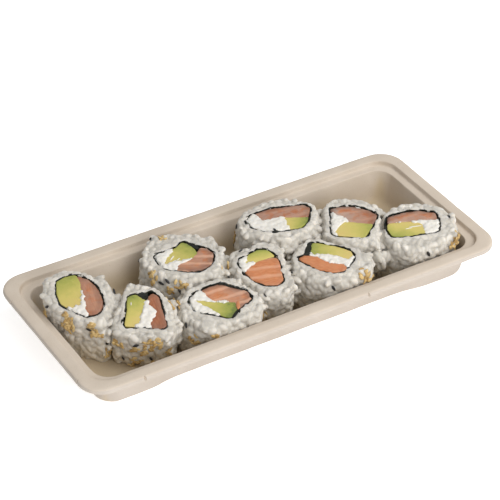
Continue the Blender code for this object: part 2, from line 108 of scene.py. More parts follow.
def copy_of(node, name):
    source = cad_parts[node].data
    piece = piece_from(name, [v.co[:] for v in source.vertices],
                       [face.vertices[:] for face in source.polygons])
    pick(piece)
    bpy.ops.object.mode_set(mode="EDIT")
    bpy.ops.mesh.select_all(action="SELECT")
    bpy.ops.mesh.remove_doubles(threshold=0.001 * MM)
    bpy.ops.object.mode_set(mode="OBJECT")
    return piece


def shape(piece, kind, **settings):
    pick(piece)
    modifier = piece.modifiers.new(kind.title(), kind)
    for name, value in settings.items():
        setattr(modifier, name, value)
    bpy.ops.object.modifier_apply(modifier=modifier.name)


def points_of(piece):
    points = np.empty(len(piece.data.vertices) * 3)
    piece.data.vertices.foreach_get("co", points)
    return points.reshape(-1, 3)


def normals_of(piece):
    normals = np.empty(len(piece.data.vertices) * 3)
    piece.data.vertices.foreach_get("normal", normals)
    return normals.reshape(-1, 3)


def surface_of(pieces):
    """A tree that finds where a line meets the pieces, or their nearest place to a point."""
    points, faces = [], []
    for piece in pieces:
        start = len(points)
        points += [v.co.copy() for v in piece.data.vertices]
        faces += [tuple(start + i for i in face.vertices) for face in piece.data.polygons]
    return BVHTree.FromPolygons(points, faces)


def move_points(piece, points):
    piece.data.vertices.foreach_set("co", np.asarray(points, float).ravel())
    piece.data.update()


def mark_points(piece, name, values):
    kind = "FLOAT_VECTOR" if np.ndim(values) == 2 else "FLOAT"
    attribute = piece.data.attributes.new(name, kind, "POINT")
    attribute.data.foreach_set("vector" if kind == "FLOAT_VECTOR" else "value", np.ravel(values))


def smooth_shaded(piece):
    pick(piece)
    bpy.ops.object.shade_smooth()


def lumps(name, size, depth=2):
    """A cloud pattern whose lumps are about the given size, for Displace modifiers."""
    pattern = bpy.data.textures.new(name, "CLOUDS")
    pattern.noise_scale = size
    pattern.noise_depth = depth
    return pattern


def serve(piece, finish, slot, *nodes):
    """Gives a finished piece its material and its place in the model."""
    piece.data.materials.clear()
    piece.data.materials.append(finish)
    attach(piece, "root")
    if nodes:
        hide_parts(*nodes)
    print(piece.name, len(piece.data.polygons), "faces")


print("tools ready")

# %% [markdown]
# ## Painting with sums
# A procedural material is a sum of patterns. Wiring each Math node by hand hides that sum, so a small
# class wraps a socket and lets Python's own signs add the nodes. A second class holds one material
# and adds any other node by its type, its settings and what goes into its sockets.

# %% Shader helpers
class Value:
    """One output socket that + - and * work on."""

    def __init__(self, paint, socket):
        self.paint, self.socket = paint, socket

    def __add__(self, other):
        return self.paint.sum("ADD", self, other)

    def __sub__(self, other):
        return self.paint.sum("SUBTRACT", self, other)

    def __rsub__(self, other):
        return self.paint.sum("SUBTRACT", other, self)

    def __mul__(self, other):
        return self.paint.sum("MULTIPLY", self, other)

    __radd__ = __add__
    __rmul__ = __mul__


class Paint:
    """One material, built around a single Principled shader."""

    def __init__(self, name, **constants):
        self.material = bpy.data.materials.new(name)
        self.material.use_nodes = True
        self.nodes = self.material.node_tree.nodes
        self.links = self.material.node_tree.links
        self.shader = self.nodes["Principled BSDF"]
        for socket, value in constants.items():
            self.shader.inputs[socket.replace("_", " ")].default_value = value

    def add(self, kind, settings=None, inputs=None, output=0):
        node = self.nodes.new(kind)
        for name, value in (settings or {}).items():
            if name == "stops":
                self.set_stops(node.color_ramp, value)
            else:
                setattr(node, name, value)
        for name, value in (inputs or {}).items():
            self.join(value, node.inputs[name])
        return Value(self, node.outputs[output])

    def set_stops(self, ramp, stops):
        ramp.elements.remove(ramp.elements[-1])
        for number, (place, colour) in enumerate(stops):
            stop = ramp.elements.new(place) if number else ramp.elements[0]
            stop.position, stop.color = place, (*colour, 1.0)

    def join(self, value, socket):
        if isinstance(value, Value):
            self.links.new(value.socket, socket)
        else:
            socket.default_value = value

    def sum(self, operation, *values):
        return self.add("ShaderNodeMath", {"operation": operation}, dict(enumerate(values)))

    def clamp(self, value):
        return self.add("ShaderNodeClamp", None, {"Value": value, "Min": 0.0, "Max": 1.0})

    def step(self, value, start, end):
        """0 below start, 1 above end, and soft between them."""
        return self.add("ShaderNodeMapRange", {"interpolation_type": "SMOOTHSTEP"},
                        {"Value": value, "From Min": start, "From Max": end})

    def place(self):
        return self.add("ShaderNodeTexCoord", None, None, "Object")

    def attribute(self, name, output="Fac"):
        return self.add("ShaderNodeAttribute", {"attribute_name": name}, None, output)

    def part(self, place, axis):
        """A place's distance along X, Y or Z: axis 0, 1 or 2."""
        return self.add("ShaderNodeSeparateXYZ", None, {0: place}, axis)

    def stretch(self, place, scale):
        return self.add("ShaderNodeMapping", None, {"Vector": place, "Scale": scale})

    def noise(self, place, scale, detail, rough=0.55, twist=0.0):
        return self.add("ShaderNodeTexNoise", None, {
            "Vector": place, "Scale": scale, "Detail": detail,
            "Roughness": rough, "Distortion": twist})

    def mix(self, share, first, second):
        """A colour between two colours."""
        def full(colour):
            return colour if isinstance(colour, Value) else (*colour, 1.0)
        return self.add("ShaderNodeMix", {"data_type": "RGBA", "clamp_factor": True},
                        {0: share, 6: full(first), 7: full(second)}, 2)

    def bump(self, height, depth, strength):
        return self.add("ShaderNodeBump", None,
                        {"Height": height, "Distance": depth, "Strength": strength})

    def finish(self, **feeds):
        for socket, value in feeds.items():
            self.join(value, self.shader.inputs[socket.replace("_", " ")])
        return self.material


print("painting tools ready")

# %% [markdown]
# ## Pressed plant fibre
# The tray is moulded from bleached cane or bamboo pulp. It is matt and warm beige, a little darker in
# patches where the pulp lies thicker, with short fibres and pin-size specks that only show close up.
# Noise stretched in two directions gives the fibres, and the peaks of a very fine noise give the
# specks. The walls inside are yellower below the ledge. Two shares come with the mesh: outside is for
# painted shade, greyer and darker, on the sides that face outwards or down, and groove for a brown
# line of painted shade in the fold round the ledge.

# %% Pulp
WALL_STARTS, WALL_SURE = (99 * MM, 37.5 * MM), (96 * MM, 34.5 * MM)    # from the middle, in X and Y
YELLOW_STARTS, YELLOW_FULL = 18.5 * MM, 11 * MM    # heights
RIM_TONES = (0.53, 0.445, 0.355), (0.655, 0.575, 0.485)
WALL_TONES = (0.50, 0.395, 0.255), (0.62, 0.515, 0.36)
# painted shade: the sides that face outwards or down are greyer and darker
OUTER_SHADE_TONES = (0.42, 0.365, 0.31), (0.53, 0.475, 0.42)
# the brown of the real specks, and of the painted shade in the groove
SPECKS_AND_GROOVE_SHADE = (0.36, 0.27, 0.18)
pulp = Paint("pressed_pulp", Roughness=0.9, Specular_IOR_Level=0.25)
spot = pulp.place()
patches = pulp.noise(spot, 70, 4)
fibres = pulp.noise(pulp.stretch(spot, (1500, 4500, 1500)), 1.0, 2)
cross_fibres = pulp.noise(pulp.stretch(spot, (5200, 1300, 1600)), 1.0, 2)
specks = pulp.step(pulp.noise(spot, 1900, 1), 0.70, 0.76)
weave = fibres * 0.5 + cross_fibres * 0.5
tone = pulp.clamp(patches * 0.9 + weave * 0.6 - 0.25)
along, across, height = (pulp.part(spot, axis) for axis in range(3))
inside = (pulp.step(pulp.sum("ABSOLUTE", along), WALL_STARTS[0], WALL_SURE[0])
          * pulp.step(pulp.sum("ABSOLUTE", across), WALL_STARTS[1], WALL_SURE[1]))
yellow = inside * pulp.step(height, YELLOW_STARTS, YELLOW_FULL)
body = pulp.mix(tone, *RIM_TONES)
body = pulp.mix(yellow * 0.9, body, pulp.mix(tone, *WALL_TONES))
# the share named outside paints shade on the sides that face outwards or down
body = pulp.mix(pulp.attribute("outside"), body, pulp.mix(tone, *OUTER_SHADE_TONES))
# real specks, plus painted shade as a brown line in the fold round the ledge
brown = pulp.clamp(specks * 0.45 + pulp.attribute("groove_shade") * 0.4)
pulp_finish = pulp.finish(
    Base_Color=pulp.mix(brown, body, SPECKS_AND_GROOVE_SHADE),
    Roughness=0.84 + weave * 0.12,
    Normal=pulp.bump(weave + patches * 0.4, 0.12 * MM, 0.7))
print(pulp_finish.name)

# %% [markdown]
# ## Cooked rice
# Sushi rice is bright but not opaque: light goes a millimetre into a grain and comes out bluish grey
# where two grains meet, and the vinegar dressing leaves a thin gloss. Subsurface scattering gives the
# depth. Each grain carries its own random number, so no two have quite the same white, and a share for
# the seams paints shade where it meets the next. Low down the rice is painted darker and warmer, as
# painted shade and painted warm light reflected from the tray.

# %% Rice
RICE_TONES = (0.50, 0.47, 0.42), (0.70, 0.66, 0.595)
# painted shade: a warm dark tone low down, with warm light reflected from the tray, and a grey one in
# the seams
WARM_SHADE_NEAR_TRAY, SEAM_SHADE_TONE = (0.60, 0.53, 0.41), (0.36, 0.345, 0.30)
WARMEST, COOL = 2 * MM, 17 * MM    # heights
rice = Paint("rice_grains", Subsurface_Weight=0.7, Subsurface_Radius=(1.0, 0.93, 0.80),
             Subsurface_Scale=1.6 * MM, Specular_IOR_Level=0.27)
spot = rice.place()
cloud = rice.noise(spot, 380, 3)
fine = rice.noise(spot, 1600, 2)
tone = rice.clamp(rice.attribute("grain") * 0.8 + cloud * 0.6 - 0.2)
# painted shade and painted warm light from the tray, strongest near the floor
low = 1 - rice.step(rice.part(spot, 2), WARMEST, COOL)
body = rice.mix(low * 0.6, rice.mix(tone, *RICE_TONES), WARM_SHADE_NEAR_TRAY)
rice_finish = rice.finish(
    # painted shade where each grain meets the next
    Base_Color=rice.mix(rice.attribute("seam_shade") * 0.38, body, SEAM_SHADE_TONE),
    Roughness=0.42 + fine * 0.25,
    Normal=rice.bump(fine, 0.10 * MM, 0.5))
print(rice_finish.name)

# %% [markdown]
# ## Nori
# Nori is a dry sheet of pressed seaweed, near black with a green cast. Moist from the rice it turns
# soft, wrinkles and takes a dull gloss.

# %% Seaweed sheet
NORI_TONES = (0.005, 0.006, 0.004), (0.020, 0.021, 0.014)
nori = Paint("seaweed_sheet", Specular_IOR_Level=0.3)
spot = nori.place()
crinkle = nori.noise(spot, 900, 4, 0.6, 0.6)
nori_finish = nori.finish(
    Base_Color=nori.mix(nori.step(crinkle, 0.35, 0.75), *NORI_TONES),
    Roughness=0.35 + crinkle * 0.4,
    Normal=nori.bump(crinkle, 0.35 * MM, 0.8))
print(nori_finish.name)

# %% [markdown]
# ## Avocado
# A slice runs from green under the skin to butter yellow at the stone. Every slice lies its own way,
# so the mesh carries the share from yellow to green as an attribute named ripe, and the material only
# reads it, with soft blotches and faint marks from the knife.

# %% Avocado flesh
YELLOW_TO_GREEN = ((0.0, (0.63, 0.48, 0.16)), (0.35, (0.58, 0.49, 0.13)), (0.7, (0.40, 0.39, 0.075)),
                   (0.93, (0.24, 0.28, 0.04)), (1.0, (0.12, 0.17, 0.025)))
STREAK = (0.62, 0.56, 0.24)
avocado = Paint("avocado_flesh", Subsurface_Weight=0.15, Subsurface_Radius=(1.0, 0.9, 0.4),
                Subsurface_Scale=1.0 * MM, Specular_IOR_Level=0.4)
spot = avocado.place()
blotch = avocado.noise(spot, 260, 3)
grain = avocado.noise(spot, 1400, 2)
ripe = avocado.clamp(avocado.attribute("ripe") + blotch * 0.5 - 0.25)
flesh = avocado.add("ShaderNodeValToRGB", {"stops": YELLOW_TO_GREEN}, {"Fac": ripe})
avocado_finish = avocado.finish(
    Base_Color=avocado.mix(grain * 0.25, flesh, STREAK),
    Roughness=0.38 + grain * 0.2,
    Normal=avocado.bump(grain + blotch, 0.15 * MM, 0.5))
print(avocado_finish.name)

# %% [markdown]
# ## Salmon
# Raw salmon is built of flakes, thick orange muscle with thin pale bands of fat between them. The mesh
# carries its own flesh coordinates in millimetres, first along the bands, then across them, so the
# bands follow each piece. Four more attributes say how strong the bands are, how grey the flesh is in
# patches, how deep its colour is and how strong the painted shade is that darkens it brown beside the
# nori. All of them differ from roll to roll, and grey and deep also change from one end of a piece to
# the other.

# %% Salmon flesh
ORANGE_TONES = (0.52, 0.18, 0.07), (0.63, 0.27, 0.12)
DEEP_TONES = (0.26, 0.085, 0.04), (0.36, 0.14, 0.07)
# the grey of patches, the painted brown shade beside the nori, and the fat
PATCH_GREY, NORI_EDGE_SHADE, FAT = (0.41, 0.32, 0.27), (0.21, 0.115, 0.08), (0.74, 0.44, 0.30)
salmon = Paint("salmon_flesh", Subsurface_Weight=0.2, Subsurface_Radius=(1.0, 0.45, 0.3),
               Subsurface_Scale=1.2 * MM, Specular_IOR_Level=0.45)
lie = salmon.attribute("flesh", "Vector")
bands = salmon.attribute("bands")
grey = salmon.attribute("grey")
deep = salmon.attribute("deep")
wander = salmon.noise(salmon.stretch(lie, (0.09, 0.09, 0.04)), 1.0, 2)
across = salmon.part(lie, 1)
wave = salmon.sum("SINE", (across + wander * 4.0) * 1.05) * 0.5 + 0.5
band = salmon.step(wave, 0.62, 1.0) * bands
strand = salmon.noise(salmon.stretch(lie, (0.35, 1.6, 0.5)), 1.0, 3)
patch = salmon.noise(lie, 0.22, 2)
fine = salmon.step(strand, 0.25, 0.8)
meat = salmon.mix(deep, salmon.mix(fine, *ORANGE_TONES), salmon.mix(fine, *DEEP_TONES))
# greyer in patches, by the share named grey
toned_meat = salmon.mix(grey * salmon.step(patch + grey * 0.06, 0.36, 0.58), meat, PATCH_GREY)
# painted shade: brown beside the nori
toned_meat = salmon.mix(salmon.attribute("edge"), toned_meat, NORI_EDGE_SHADE)
salmon_finish = salmon.finish(
    Base_Color=salmon.mix(band * 0.55, toned_meat, FAT),
    Roughness=0.30 + strand * 0.25,
    Normal=salmon.bump(strand - band * 0.5, 0.2 * MM, 0.45))
print(salmon_finish.name)

# %% [markdown]
# ## Cream cheese
# Cold cream cheese is cut and squeezed rather than sliced, so it is white, short and a little crumbly.

# %% Cream cheese
cheese = Paint("soft_cheese", Subsurface_Weight=0.3, Subsurface_Radius=(1.0, 0.9, 0.75),
               Subsurface_Scale=1.0 * MM, Specular_IOR_Level=0.35)
spot = cheese.place()
crumb = cheese.noise(spot, 700, 4)
cheese_finish = cheese.finish(
    Base_Color=cheese.mix(crumb, (0.68, 0.65, 0.58), (0.84, 0.81, 0.76)),
    Roughness=0.45 + crumb * 0.25,
    Normal=cheese.bump(crumb, 0.35 * MM, 0.7))
print(cheese_finish.name)

# %% [markdown]
# ## Sesame
# Black seeds are matt with a slight sheen, toasted ones run from straw to amber. Each seed carries a
# random number, as the grains do.

# %% Sesame
def sesame_paint(name, dark, light, roughness):
    sesame = Paint(name, Specular_IOR_Level=0.4)
    fine = sesame.noise(sesame.place(), 1500, 2)
    tone = sesame.clamp(sesame.attribute("grain") * 0.9 + fine * 0.4 - 0.15)
    return sesame.finish(
        Base_Color=sesame.mix(tone, dark, light),
        Roughness=roughness + fine * 0.2,
        Normal=sesame.bump(fine, 0.08 * MM, 0.5))


black_finish = sesame_paint("black_sesame", (0.008, 0.008, 0.009), (0.035, 0.032, 0.032), 0.35)
golden_finish = sesame_paint("golden_sesame", (0.37, 0.22, 0.07), (0.70, 0.52, 0.24), 0.5)
print(black_finish.name, golden_finish.name)

# %% [markdown]
# ## Floor, light and camera
# The tray stands on a white sweep. One wide soft light hangs to its front right. A second, lower and
# straight in front, keeps the near sides of the rolls bright, and the white surroundings fill the rest
# of the shadows. The sweep glows faintly, so that it stays white under the tray's shadow.

# %% Stage
SWEEP_GLOW, SURROUNDINGS_GLOW = 0.58, 0.46
bpy.ops.object.select_all(action="DESELECT")
bpy.ops.mesh.primitive_plane_add(size=6, location=(0, 0, -0.2 * MM))
sweep = bpy.context.object
sweep.name = "sweep"
bpy.ops.object.transform_apply(location=True)
white = Paint("white_sweep", Roughness=0.9)
haze = white.noise(white.place(), 3.0, 2)
sweep.data.materials.append(
    white.finish(Base_Color=white.mix(haze, (0.86, 0.86, 0.86), (0.9, 0.9, 0.9))))
white.shader.inputs["Emission Color"].default_value = (1, 1, 1, 1)
white.shader.inputs["Emission Strength"].default_value = SWEEP_GLOW


def soft_light(name, place, aim, size, power):
    light = bpy.data.lights.new(name, "AREA")
    light.shape, light.size, light.energy = "DISK", size, power
    lamp = bpy.data.objects.new(name, light)
    bpy.context.scene.collection.objects.link(lamp)
    lamp.location = place
    lamp.rotation_euler = (Vector(aim) - Vector(place)).to_track_quat("-Z", "Y").to_euler()


soft_light("overhead", (0.40, -0.32, 0.90), (0, 0, 0), 0.7, 5.1)
soft_light("front", (0.02, -1.0, 0.48), (0, 0, 0.01), 0.6, 6.4)
scene = bpy.context.scene
scene.world = bpy.data.worlds.new("surroundings")
scene.world.use_nodes = True
surroundings = scene.world.node_tree.nodes["Background"].inputs
surroundings["Color"].default_value = (1, 1, 1, 1)
surroundings["Strength"].default_value = SURROUNDINGS_GLOW
scene.view_settings.view_transform = "Standard"
print("sweep, two soft lights and white surroundings")

# %% [markdown]
# ## The camera
# The photo was taken with a long lens, so the far rim is hardly smaller than the near one. The place,
# the aim and the lens are the ones that lay the solid tray's edges over the edges in the photo.

# %% Camera
CAMERA_AT = (-0.4020, -0.6685, 0.5942)
CAMERA_AIM = (0.00444, 0.0089, 0.020)
LENS, SENSOR = 148.9, 36    # mm
lens = bpy.data.cameras.new("camera")
lens.lens, lens.sensor_width = LENS, SENSOR
camera = bpy.data.objects.new("camera", lens)
scene.collection.objects.link(camera)
camera.location = CAMERA_AT
camera.rotation_euler = (Vector(CAMERA_AIM) - Vector(CAMERA_AT)).to_track_quat("-Z", "Y").to_euler()
scene.camera = camera
print("camera", [round(v, 3) for v in camera.location])

# %% [markdown]
# ## The tray
# A sheet of wet fibre is sucked onto a mould, so the tray is one sheet of even thickness: a rolled
# rim, a groove, a ledge and a wall that stands out a little as a foot at each corner. It is made in
# the same way. A circle of points is set out as the rim's outline with its round corners, and the
# profile below says how far in, how high and how round each next ring is.

# %% Tray profile
TRAY_LENGTH, TRAY_WIDTH = 220 * MM, 97 * MM
SHEET = 1.2 * MM
FOOT_REACH, FOOT_BLEND, FOOT_BULGE = 22 * MM, 9 * MM, 2 * MM
SHORT_SIDE_REACH = 0.6    # of the reach along the long sides
CORNER_STEPS = 8
# Inset from the outer edge, height and corner radius in mm, then the foot's share
PROFILE = (
    (0.0, 17.5, 12.0, 0.0), (0.0, 18.7, 12.0, 0.0), (0.25, 19.5, 11.9, 0.0), (0.9, 20.0, 11.6, 0.0),
    (2.4, 20.1, 11.0, 0.0), (4.4, 20.1, 10.4, 0.0), (6.0, 20.0, 9.9, 0.0), (6.35, 19.75, 9.8, 0.0),
    (6.6, 18.2, 9.7, 0.0), (6.9, 17.75, 9.6, 0.0), (7.6, 17.6, 9.3, 0.0), (9.8, 17.55, 8.8, 0.0),
    (10.35, 17.4, 8.6, 0.0), (10.65, 16.6, 8.5, 0.1), (12.4, 10.5, 8.3, 0.55), (13.9, 4.4, 8.2, 1.0),
    (14.6, 2.1, 8.0, 1.0), (15.6, 1.3, 7.8, 1.0), (17.2, 1.2, 7.6, 1.0), (21.0, 1.2, 6.6, 0.6))


def ring_places(inset, height, radius, foot):
    """Places round one level of the tray, in the order of the extruded edge."""
    half_x, half_y = TRAY_LENGTH / 2 - inset * MM, TRAY_WIDTH / 2 - inset * MM
    radius, bulge = radius * MM, FOOT_BULGE * foot
    places = []
    for quarter, (sign_x, sign_y) in enumerate(((1, 1), (-1, 1), (-1, -1), (1, -1))):
        for step in range(CORNER_STEPS + 1):
            turn = math.radians(90 * (quarter + step / CORNER_STEPS))
            places.append((sign_x * (half_x + bulge - radius) + radius * math.cos(turn),
                           sign_y * (half_y + bulge - radius) + radius * math.sin(turn)))
        along_x = quarter % 2 == 0
        length, edge = (half_x, half_y) if along_x else (half_y, half_x)
        reach = FOOT_REACH if along_x else SHORT_SIDE_REACH * FOOT_REACH
        near, far = length - reach, length - reach - FOOT_BLEND
        inner = [far * share for share in ((0.6, 0.2, -0.2, -0.6) if along_x else (0.0,))]
        stations = [near, (near + far) / 2, far, *inner, -far, -(near + far) / 2, -near]
        outward = [1.0, 0.5, 0.0, *(0.0 for _ in inner), 0.0, 0.5, 1.0]
        for station, share in zip(stations, outward):
            side = edge + bulge * share
            places.append({0: (station, side), 1: (-side, station),
                           2: (-station, -side), 3: (side, -station)}[quarter])
    return [(x, y, height * MM) for x, y in places]


ring = ring_places(*PROFILE[0])
print(len(PROFILE), "rings of", len(ring), "places")

# %% [markdown]
# ## The sheet, ring by ring
# The open edge is extruded once for each ring of the profile, down the outside of the rim, over it and
# down the walls. What is left is the floor, which is filled and inset once.

# %% Tray mesh
FLOOR_INSET = 6 * MM
bpy.ops.object.select_all(action="DESELECT")
bpy.ops.mesh.primitive_circle_add(vertices=len(ring), radius=TRAY_WIDTH / 2, fill_type="NOTHING")
tray = bpy.context.object
tray.name = tray.data.name = "tray_sheet"
for vertex, place in zip(tray.data.vertices, ring):
    vertex.co = place
for row in PROFILE[1:]:
    bpy.ops.object.mode_set(mode="EDIT")
    bpy.ops.mesh.extrude_edges_move()
    bpy.ops.object.mode_set(mode="OBJECT")
    newest = tray.data.vertices[-len(ring):]
    for vertex, place in zip(newest, ring_places(*row)):
        vertex.co = place
bpy.ops.object.mode_set(mode="EDIT")
bpy.ops.mesh.edge_face_add()
bpy.ops.mesh.inset(thickness=FLOOR_INSET)
bpy.ops.mesh.select_all(action="SELECT")
bpy.ops.mesh.normals_make_consistent(inside=False)
bpy.ops.object.mode_set(mode="OBJECT")
floor_normal = max(tray.data.polygons, key=lambda face: face.area).normal.z
print("tray sheet", len(tray.data.vertices), "points, floor faces", round(floor_normal, 2))

# %% [markdown]
# ## Thick, soft and flat underneath
# Solidify gives the sheet its thickness, Subdivision rounds each fold, as wet fibre would, and a faint
# displacement keeps the walls from looking machined. The rolls and the tray itself need a level floor,
# so its points are then laid flat, and the flat faces are joined, which keeps their shading even.

# %% Tray thickness and softness
PULP_LUMPS, PULP_RELIEF = 9 * MM, 0.35 * MM
FLAT_X, FLAT_Y = 88 * MM, 27 * MM    # the level floor's half length and half width
shape(tray, "SOLIDIFY", thickness=SHEET, offset=-1.0, use_even_offset=True)
shape(tray, "SUBSURF", levels=2, render_levels=2)
shape(tray, "DISPLACE", texture=lumps("wet_pulp", PULP_LUMPS), strength=PULP_RELIEF, mid_level=0.5,
      texture_coords="LOCAL")
places = points_of(tray)
places[:, 0] = places[:, 0].clip(-TRAY_LENGTH / 2, TRAY_LENGTH / 2)
places[:, 1] = places[:, 1].clip(-TRAY_WIDTH / 2, TRAY_WIDTH / 2)
places[:, 2] = places[:, 2].clip(solid_box[0].z, None)
floor = (abs(places[:, 0]) < FLAT_X) & (abs(places[:, 1]) < FLAT_Y)
places[floor, 2] = np.where(places[floor, 2] > SHEET / 2, SHEET, solid_box[0].z)
move_points(tray, places)
pick(tray)
bpy.ops.object.mode_set(mode="EDIT")
bpy.ops.mesh.select_mode(type="FACE")
bpy.ops.mesh.select_all(action="DESELECT")
bpy.ops.object.mode_set(mode="OBJECT")
flat = [bool(floor[list(face.vertices)].all()) for face in tray.data.polygons]
tray.data.polygons.foreach_set("select", flat)
bpy.ops.object.mode_set(mode="EDIT")
bpy.ops.mesh.dissolve_faces()
bpy.ops.object.mode_set(mode="OBJECT")
print(sum(flat), "flat faces joined")

# %% [markdown]
# ## Trim notches and tones
# The press leaves small nicks where the rim was trimmed. A three-sided bar is set into the rim at each
# and cut away with a Boolean. Last, the tray marks its own points: how far they face outwards or down,
# for the painted shade of the greyer outer side, and how far they face inwards above the ledge, for
# the brown line of painted shade in the groove.

# %% Notches and tones
# Place on the outer edge in mm and the way the notch faces
NOTCHES = ((-110, -35, -90), (-110, 31, -90), (110, -33, 90), (110, 34, 90), (-83, -48.5, 0),
           (34, -48.5, 0), (-71, 48.5, 180), (12, 48.5, 180), (81, 48.5, 180))
NOTCH_RADIUS, NOTCH_TALL, NOTCH_HEIGHT = 1.25 * MM, 3.4 * MM, 18.4 * MM
GROOVE_HEIGHT = 17.1 * MM
for x, y, turn in NOTCHES:
    bpy.ops.object.select_all(action="DESELECT")
    bpy.ops.mesh.primitive_cylinder_add(
        vertices=3, radius=NOTCH_RADIUS, depth=NOTCH_TALL,
        location=(x * MM, y * MM, NOTCH_HEIGHT), rotation=(0, 0, math.radians(turn)))
    cutter = bpy.context.object
    bpy.ops.object.transform_apply()
    shape(tray, "BOOLEAN", operation="DIFFERENCE", object=cutter)
    bpy.data.objects.remove(cutter, do_unlink=True)
pick(tray)
bpy.ops.object.shade_smooth_by_angle(angle=math.radians(40))
places, normals = points_of(tray), normals_of(tray)
outward = np.maximum(np.sign(places[:, 0]) * normals[:, 0] * (abs(places[:, 0]) > FLAT_X),
                     np.sign(places[:, 1]) * normals[:, 1] * (abs(places[:, 1]) > FLAT_Y))
# painted shade on the outer side: how far each point faces outwards or down
mark_points(tray, "outside", (2.5 * np.maximum(outward, -normals[:, 2]) - 1.2).clip(0, 1))
# painted shade in the groove: points that face inwards above the ledge
mark_points(tray, "groove_shade", (-1.5 * outward).clip(0, 1) * (places[:, 2] > GROOVE_HEIGHT))
serve(tray, pulp_finish, "pulp", "tray")

# %% [markdown]
# ## How each roll stands
# The plain solids say where every roll is. The nori of a roll is a ring between two flat ends, so its
# upper points lie on the slanted cut, and the mean of its lower points against its upper ones says
# how far the roll leans. With the cut and the lean known, any place on the cut can be followed down
# through the roll.

# %% Read the rolls
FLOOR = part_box("roll_1_nori")[0].z
UPPER = FLOOR + 5 * MM    # whatever lies higher belongs to the upper end of a roll
AT_ONCE = 4000    # places measured together, to spare memory


def top_points(node):
    points = np.array([v.co[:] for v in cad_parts[node].data.vertices])
    return points[points[:, 2] > UPPER]


def edge_loops(piece):
    """The outlines of a piece's upper face, longest way round first, as lists of 2-D places."""
    mesh = piece.data
    count = {}
    for face in mesh.polygons:
        if face.normal.z > 0.7 and face.center.z > UPPER:
            for key in face.edge_keys:
                count[key] = count.get(key, 0) + 1
    linked = {}
    for a, b in (key for key, uses in count.items() if uses == 1):
        linked.setdefault(a, []).append(b)
        linked.setdefault(b, []).append(a)
    loops = []
    while linked:
        start = next(iter(linked))
        loop, here = [start], start
        while linked.get(here):
            after = linked[here].pop()
            linked[after].remove(here)
            if after == start:
                break
            loop.append(after)
            here = after
        for point in loop:
            linked.pop(point, None)
        loops.append(np.array([mesh.vertices[i].co[:2] for i in loop]))
    return sorted(loops, key=lambda loop: -np.ptp(loop, axis=0).sum())


def beside(flat, loop):
    """For each flat place, its distance to a closed loop and the nearest place on the loop."""
    starts, edges = loop, np.roll(loop, -1, axis=0) - loop
    lengths = (edges ** 2).sum(1)
    distance, nearest = np.empty(len(flat)), np.empty((len(flat), 2))
    for low in range(0, len(flat), AT_ONCE):
        part = flat[low:low + AT_ONCE, None, :]
        share = (((part - starts) * edges).sum(2) / lengths).clip(0, 1)
        foot = starts + share[..., None] * edges
        gap = np.linalg.norm(part - foot, axis=2)
        best = gap.argmin(1)
        rows = np.arange(len(best))
        distance[low:low + AT_ONCE] = gap[rows, best]
        nearest[low:low + AT_ONCE] = foot[rows, best]
    return distance, nearest


def within(flat, loop):
    """Whether each flat place lies inside a closed loop."""
    ahead = np.roll(loop, -1, axis=0)
    x, y = flat[:, :1], flat[:, 1:]
    crosses = (loop[:, 1] > y) != (ahead[:, 1] > y)
    slope = (ahead[:, 0] - loop[:, 0]) / (ahead[:, 1] - loop[:, 1] + 1e-12)
    return (crosses & (x < loop[:, 0] + (y - loop[:, 1]) * slope)).sum(1) % 2 == 1


class Roll:
    """One roll as read from its solids: nori outlines, slanted cut, height, lean and centre."""

    def __init__(self, number):
        self.number = number
        ring = copy_of(f"roll_{number}_nori", "ring")
        self.outer, self.inner = edge_loops(ring)[:2]
        points = points_of(ring)
        high, low = points[points[:, 2] > UPPER], points[points[:, 2] <= UPPER]
        cut = np.vstack([top_points(f"roll_{number}_{kind}")
                         for kind in ("nori", "avocado", "salmon")])
        flat = np.column_stack([np.ones(len(cut)), cut[:, :2]])
        self.cut = np.linalg.lstsq(flat, cut[:, 2], rcond=None)[0]
        self.height = high[:, 2].mean() - FLOOR
        self.lean = (high[:, :2].mean(0) - low[:, :2].mean(0)) / self.height
        self.centre = high[:, :2].mean(0)
        bpy.data.objects.remove(ring, do_unlink=True)

    def cut_at(self, flat):
        return self.cut[0] + np.asarray(flat) @ self.cut[1:]

    def upright(self, points):
        """Where points lie on the cut if each is followed up along the roll's lean."""
        flat = points[:, :2]
        for _ in range(2):
            rest = points[:, 2] - self.cut_at(flat)
            flat = points[:, :2] - rest[:, None] * self.lean
        return flat


rolls = [Roll(number) for number in ROLLS]
for roll in rolls:
    print(roll.number, "centre", (roll.centre * 1000).round(1), "height", round(roll.height * 1000, 1),
          "lean", roll.lean.round(3), "outline", len(roll.outer), len(roll.inner))

# %% [markdown]
# ## Nori, torn and wrinkled
# A sheet of nori is rolled round the filling, so on the cut it is one dark line, thick where the sheet
# laps over itself. The knife tears it a little. Its two outlines are drawn as a filled curve with
# depth, made a mesh and cut level by level near the top, so that the upper edge can fray and the sheet
# can wave without bending the whole height. The sheet is thinner than its solid, unevenly so.

# %% Seaweed rings
LEVELS = (0.0, 0.6, 0.82, 0.92, 0.97)    # of the ring's height, closer together near the cut
THINNEST, ONE_SHEET = 0.35 * MM, 1.3 * MM
TORN_UP = 0.12 * MM
FRAYS = ((1.3 * MM, 0.55 * MM), (3.5 * MM, 0.45 * MM))    # the torn edge's waves: size and height
WRINKLES = ((2.5 * MM, 0.28 * MM), (1.1 * MM, 0.16 * MM))    # the sheet's waves: size and depth


def ripple(x, y, z, size):
    """Blender's own noise at a place, with waves of about the given size."""
    return noise.noise(Vector((x, y, z)) / size)


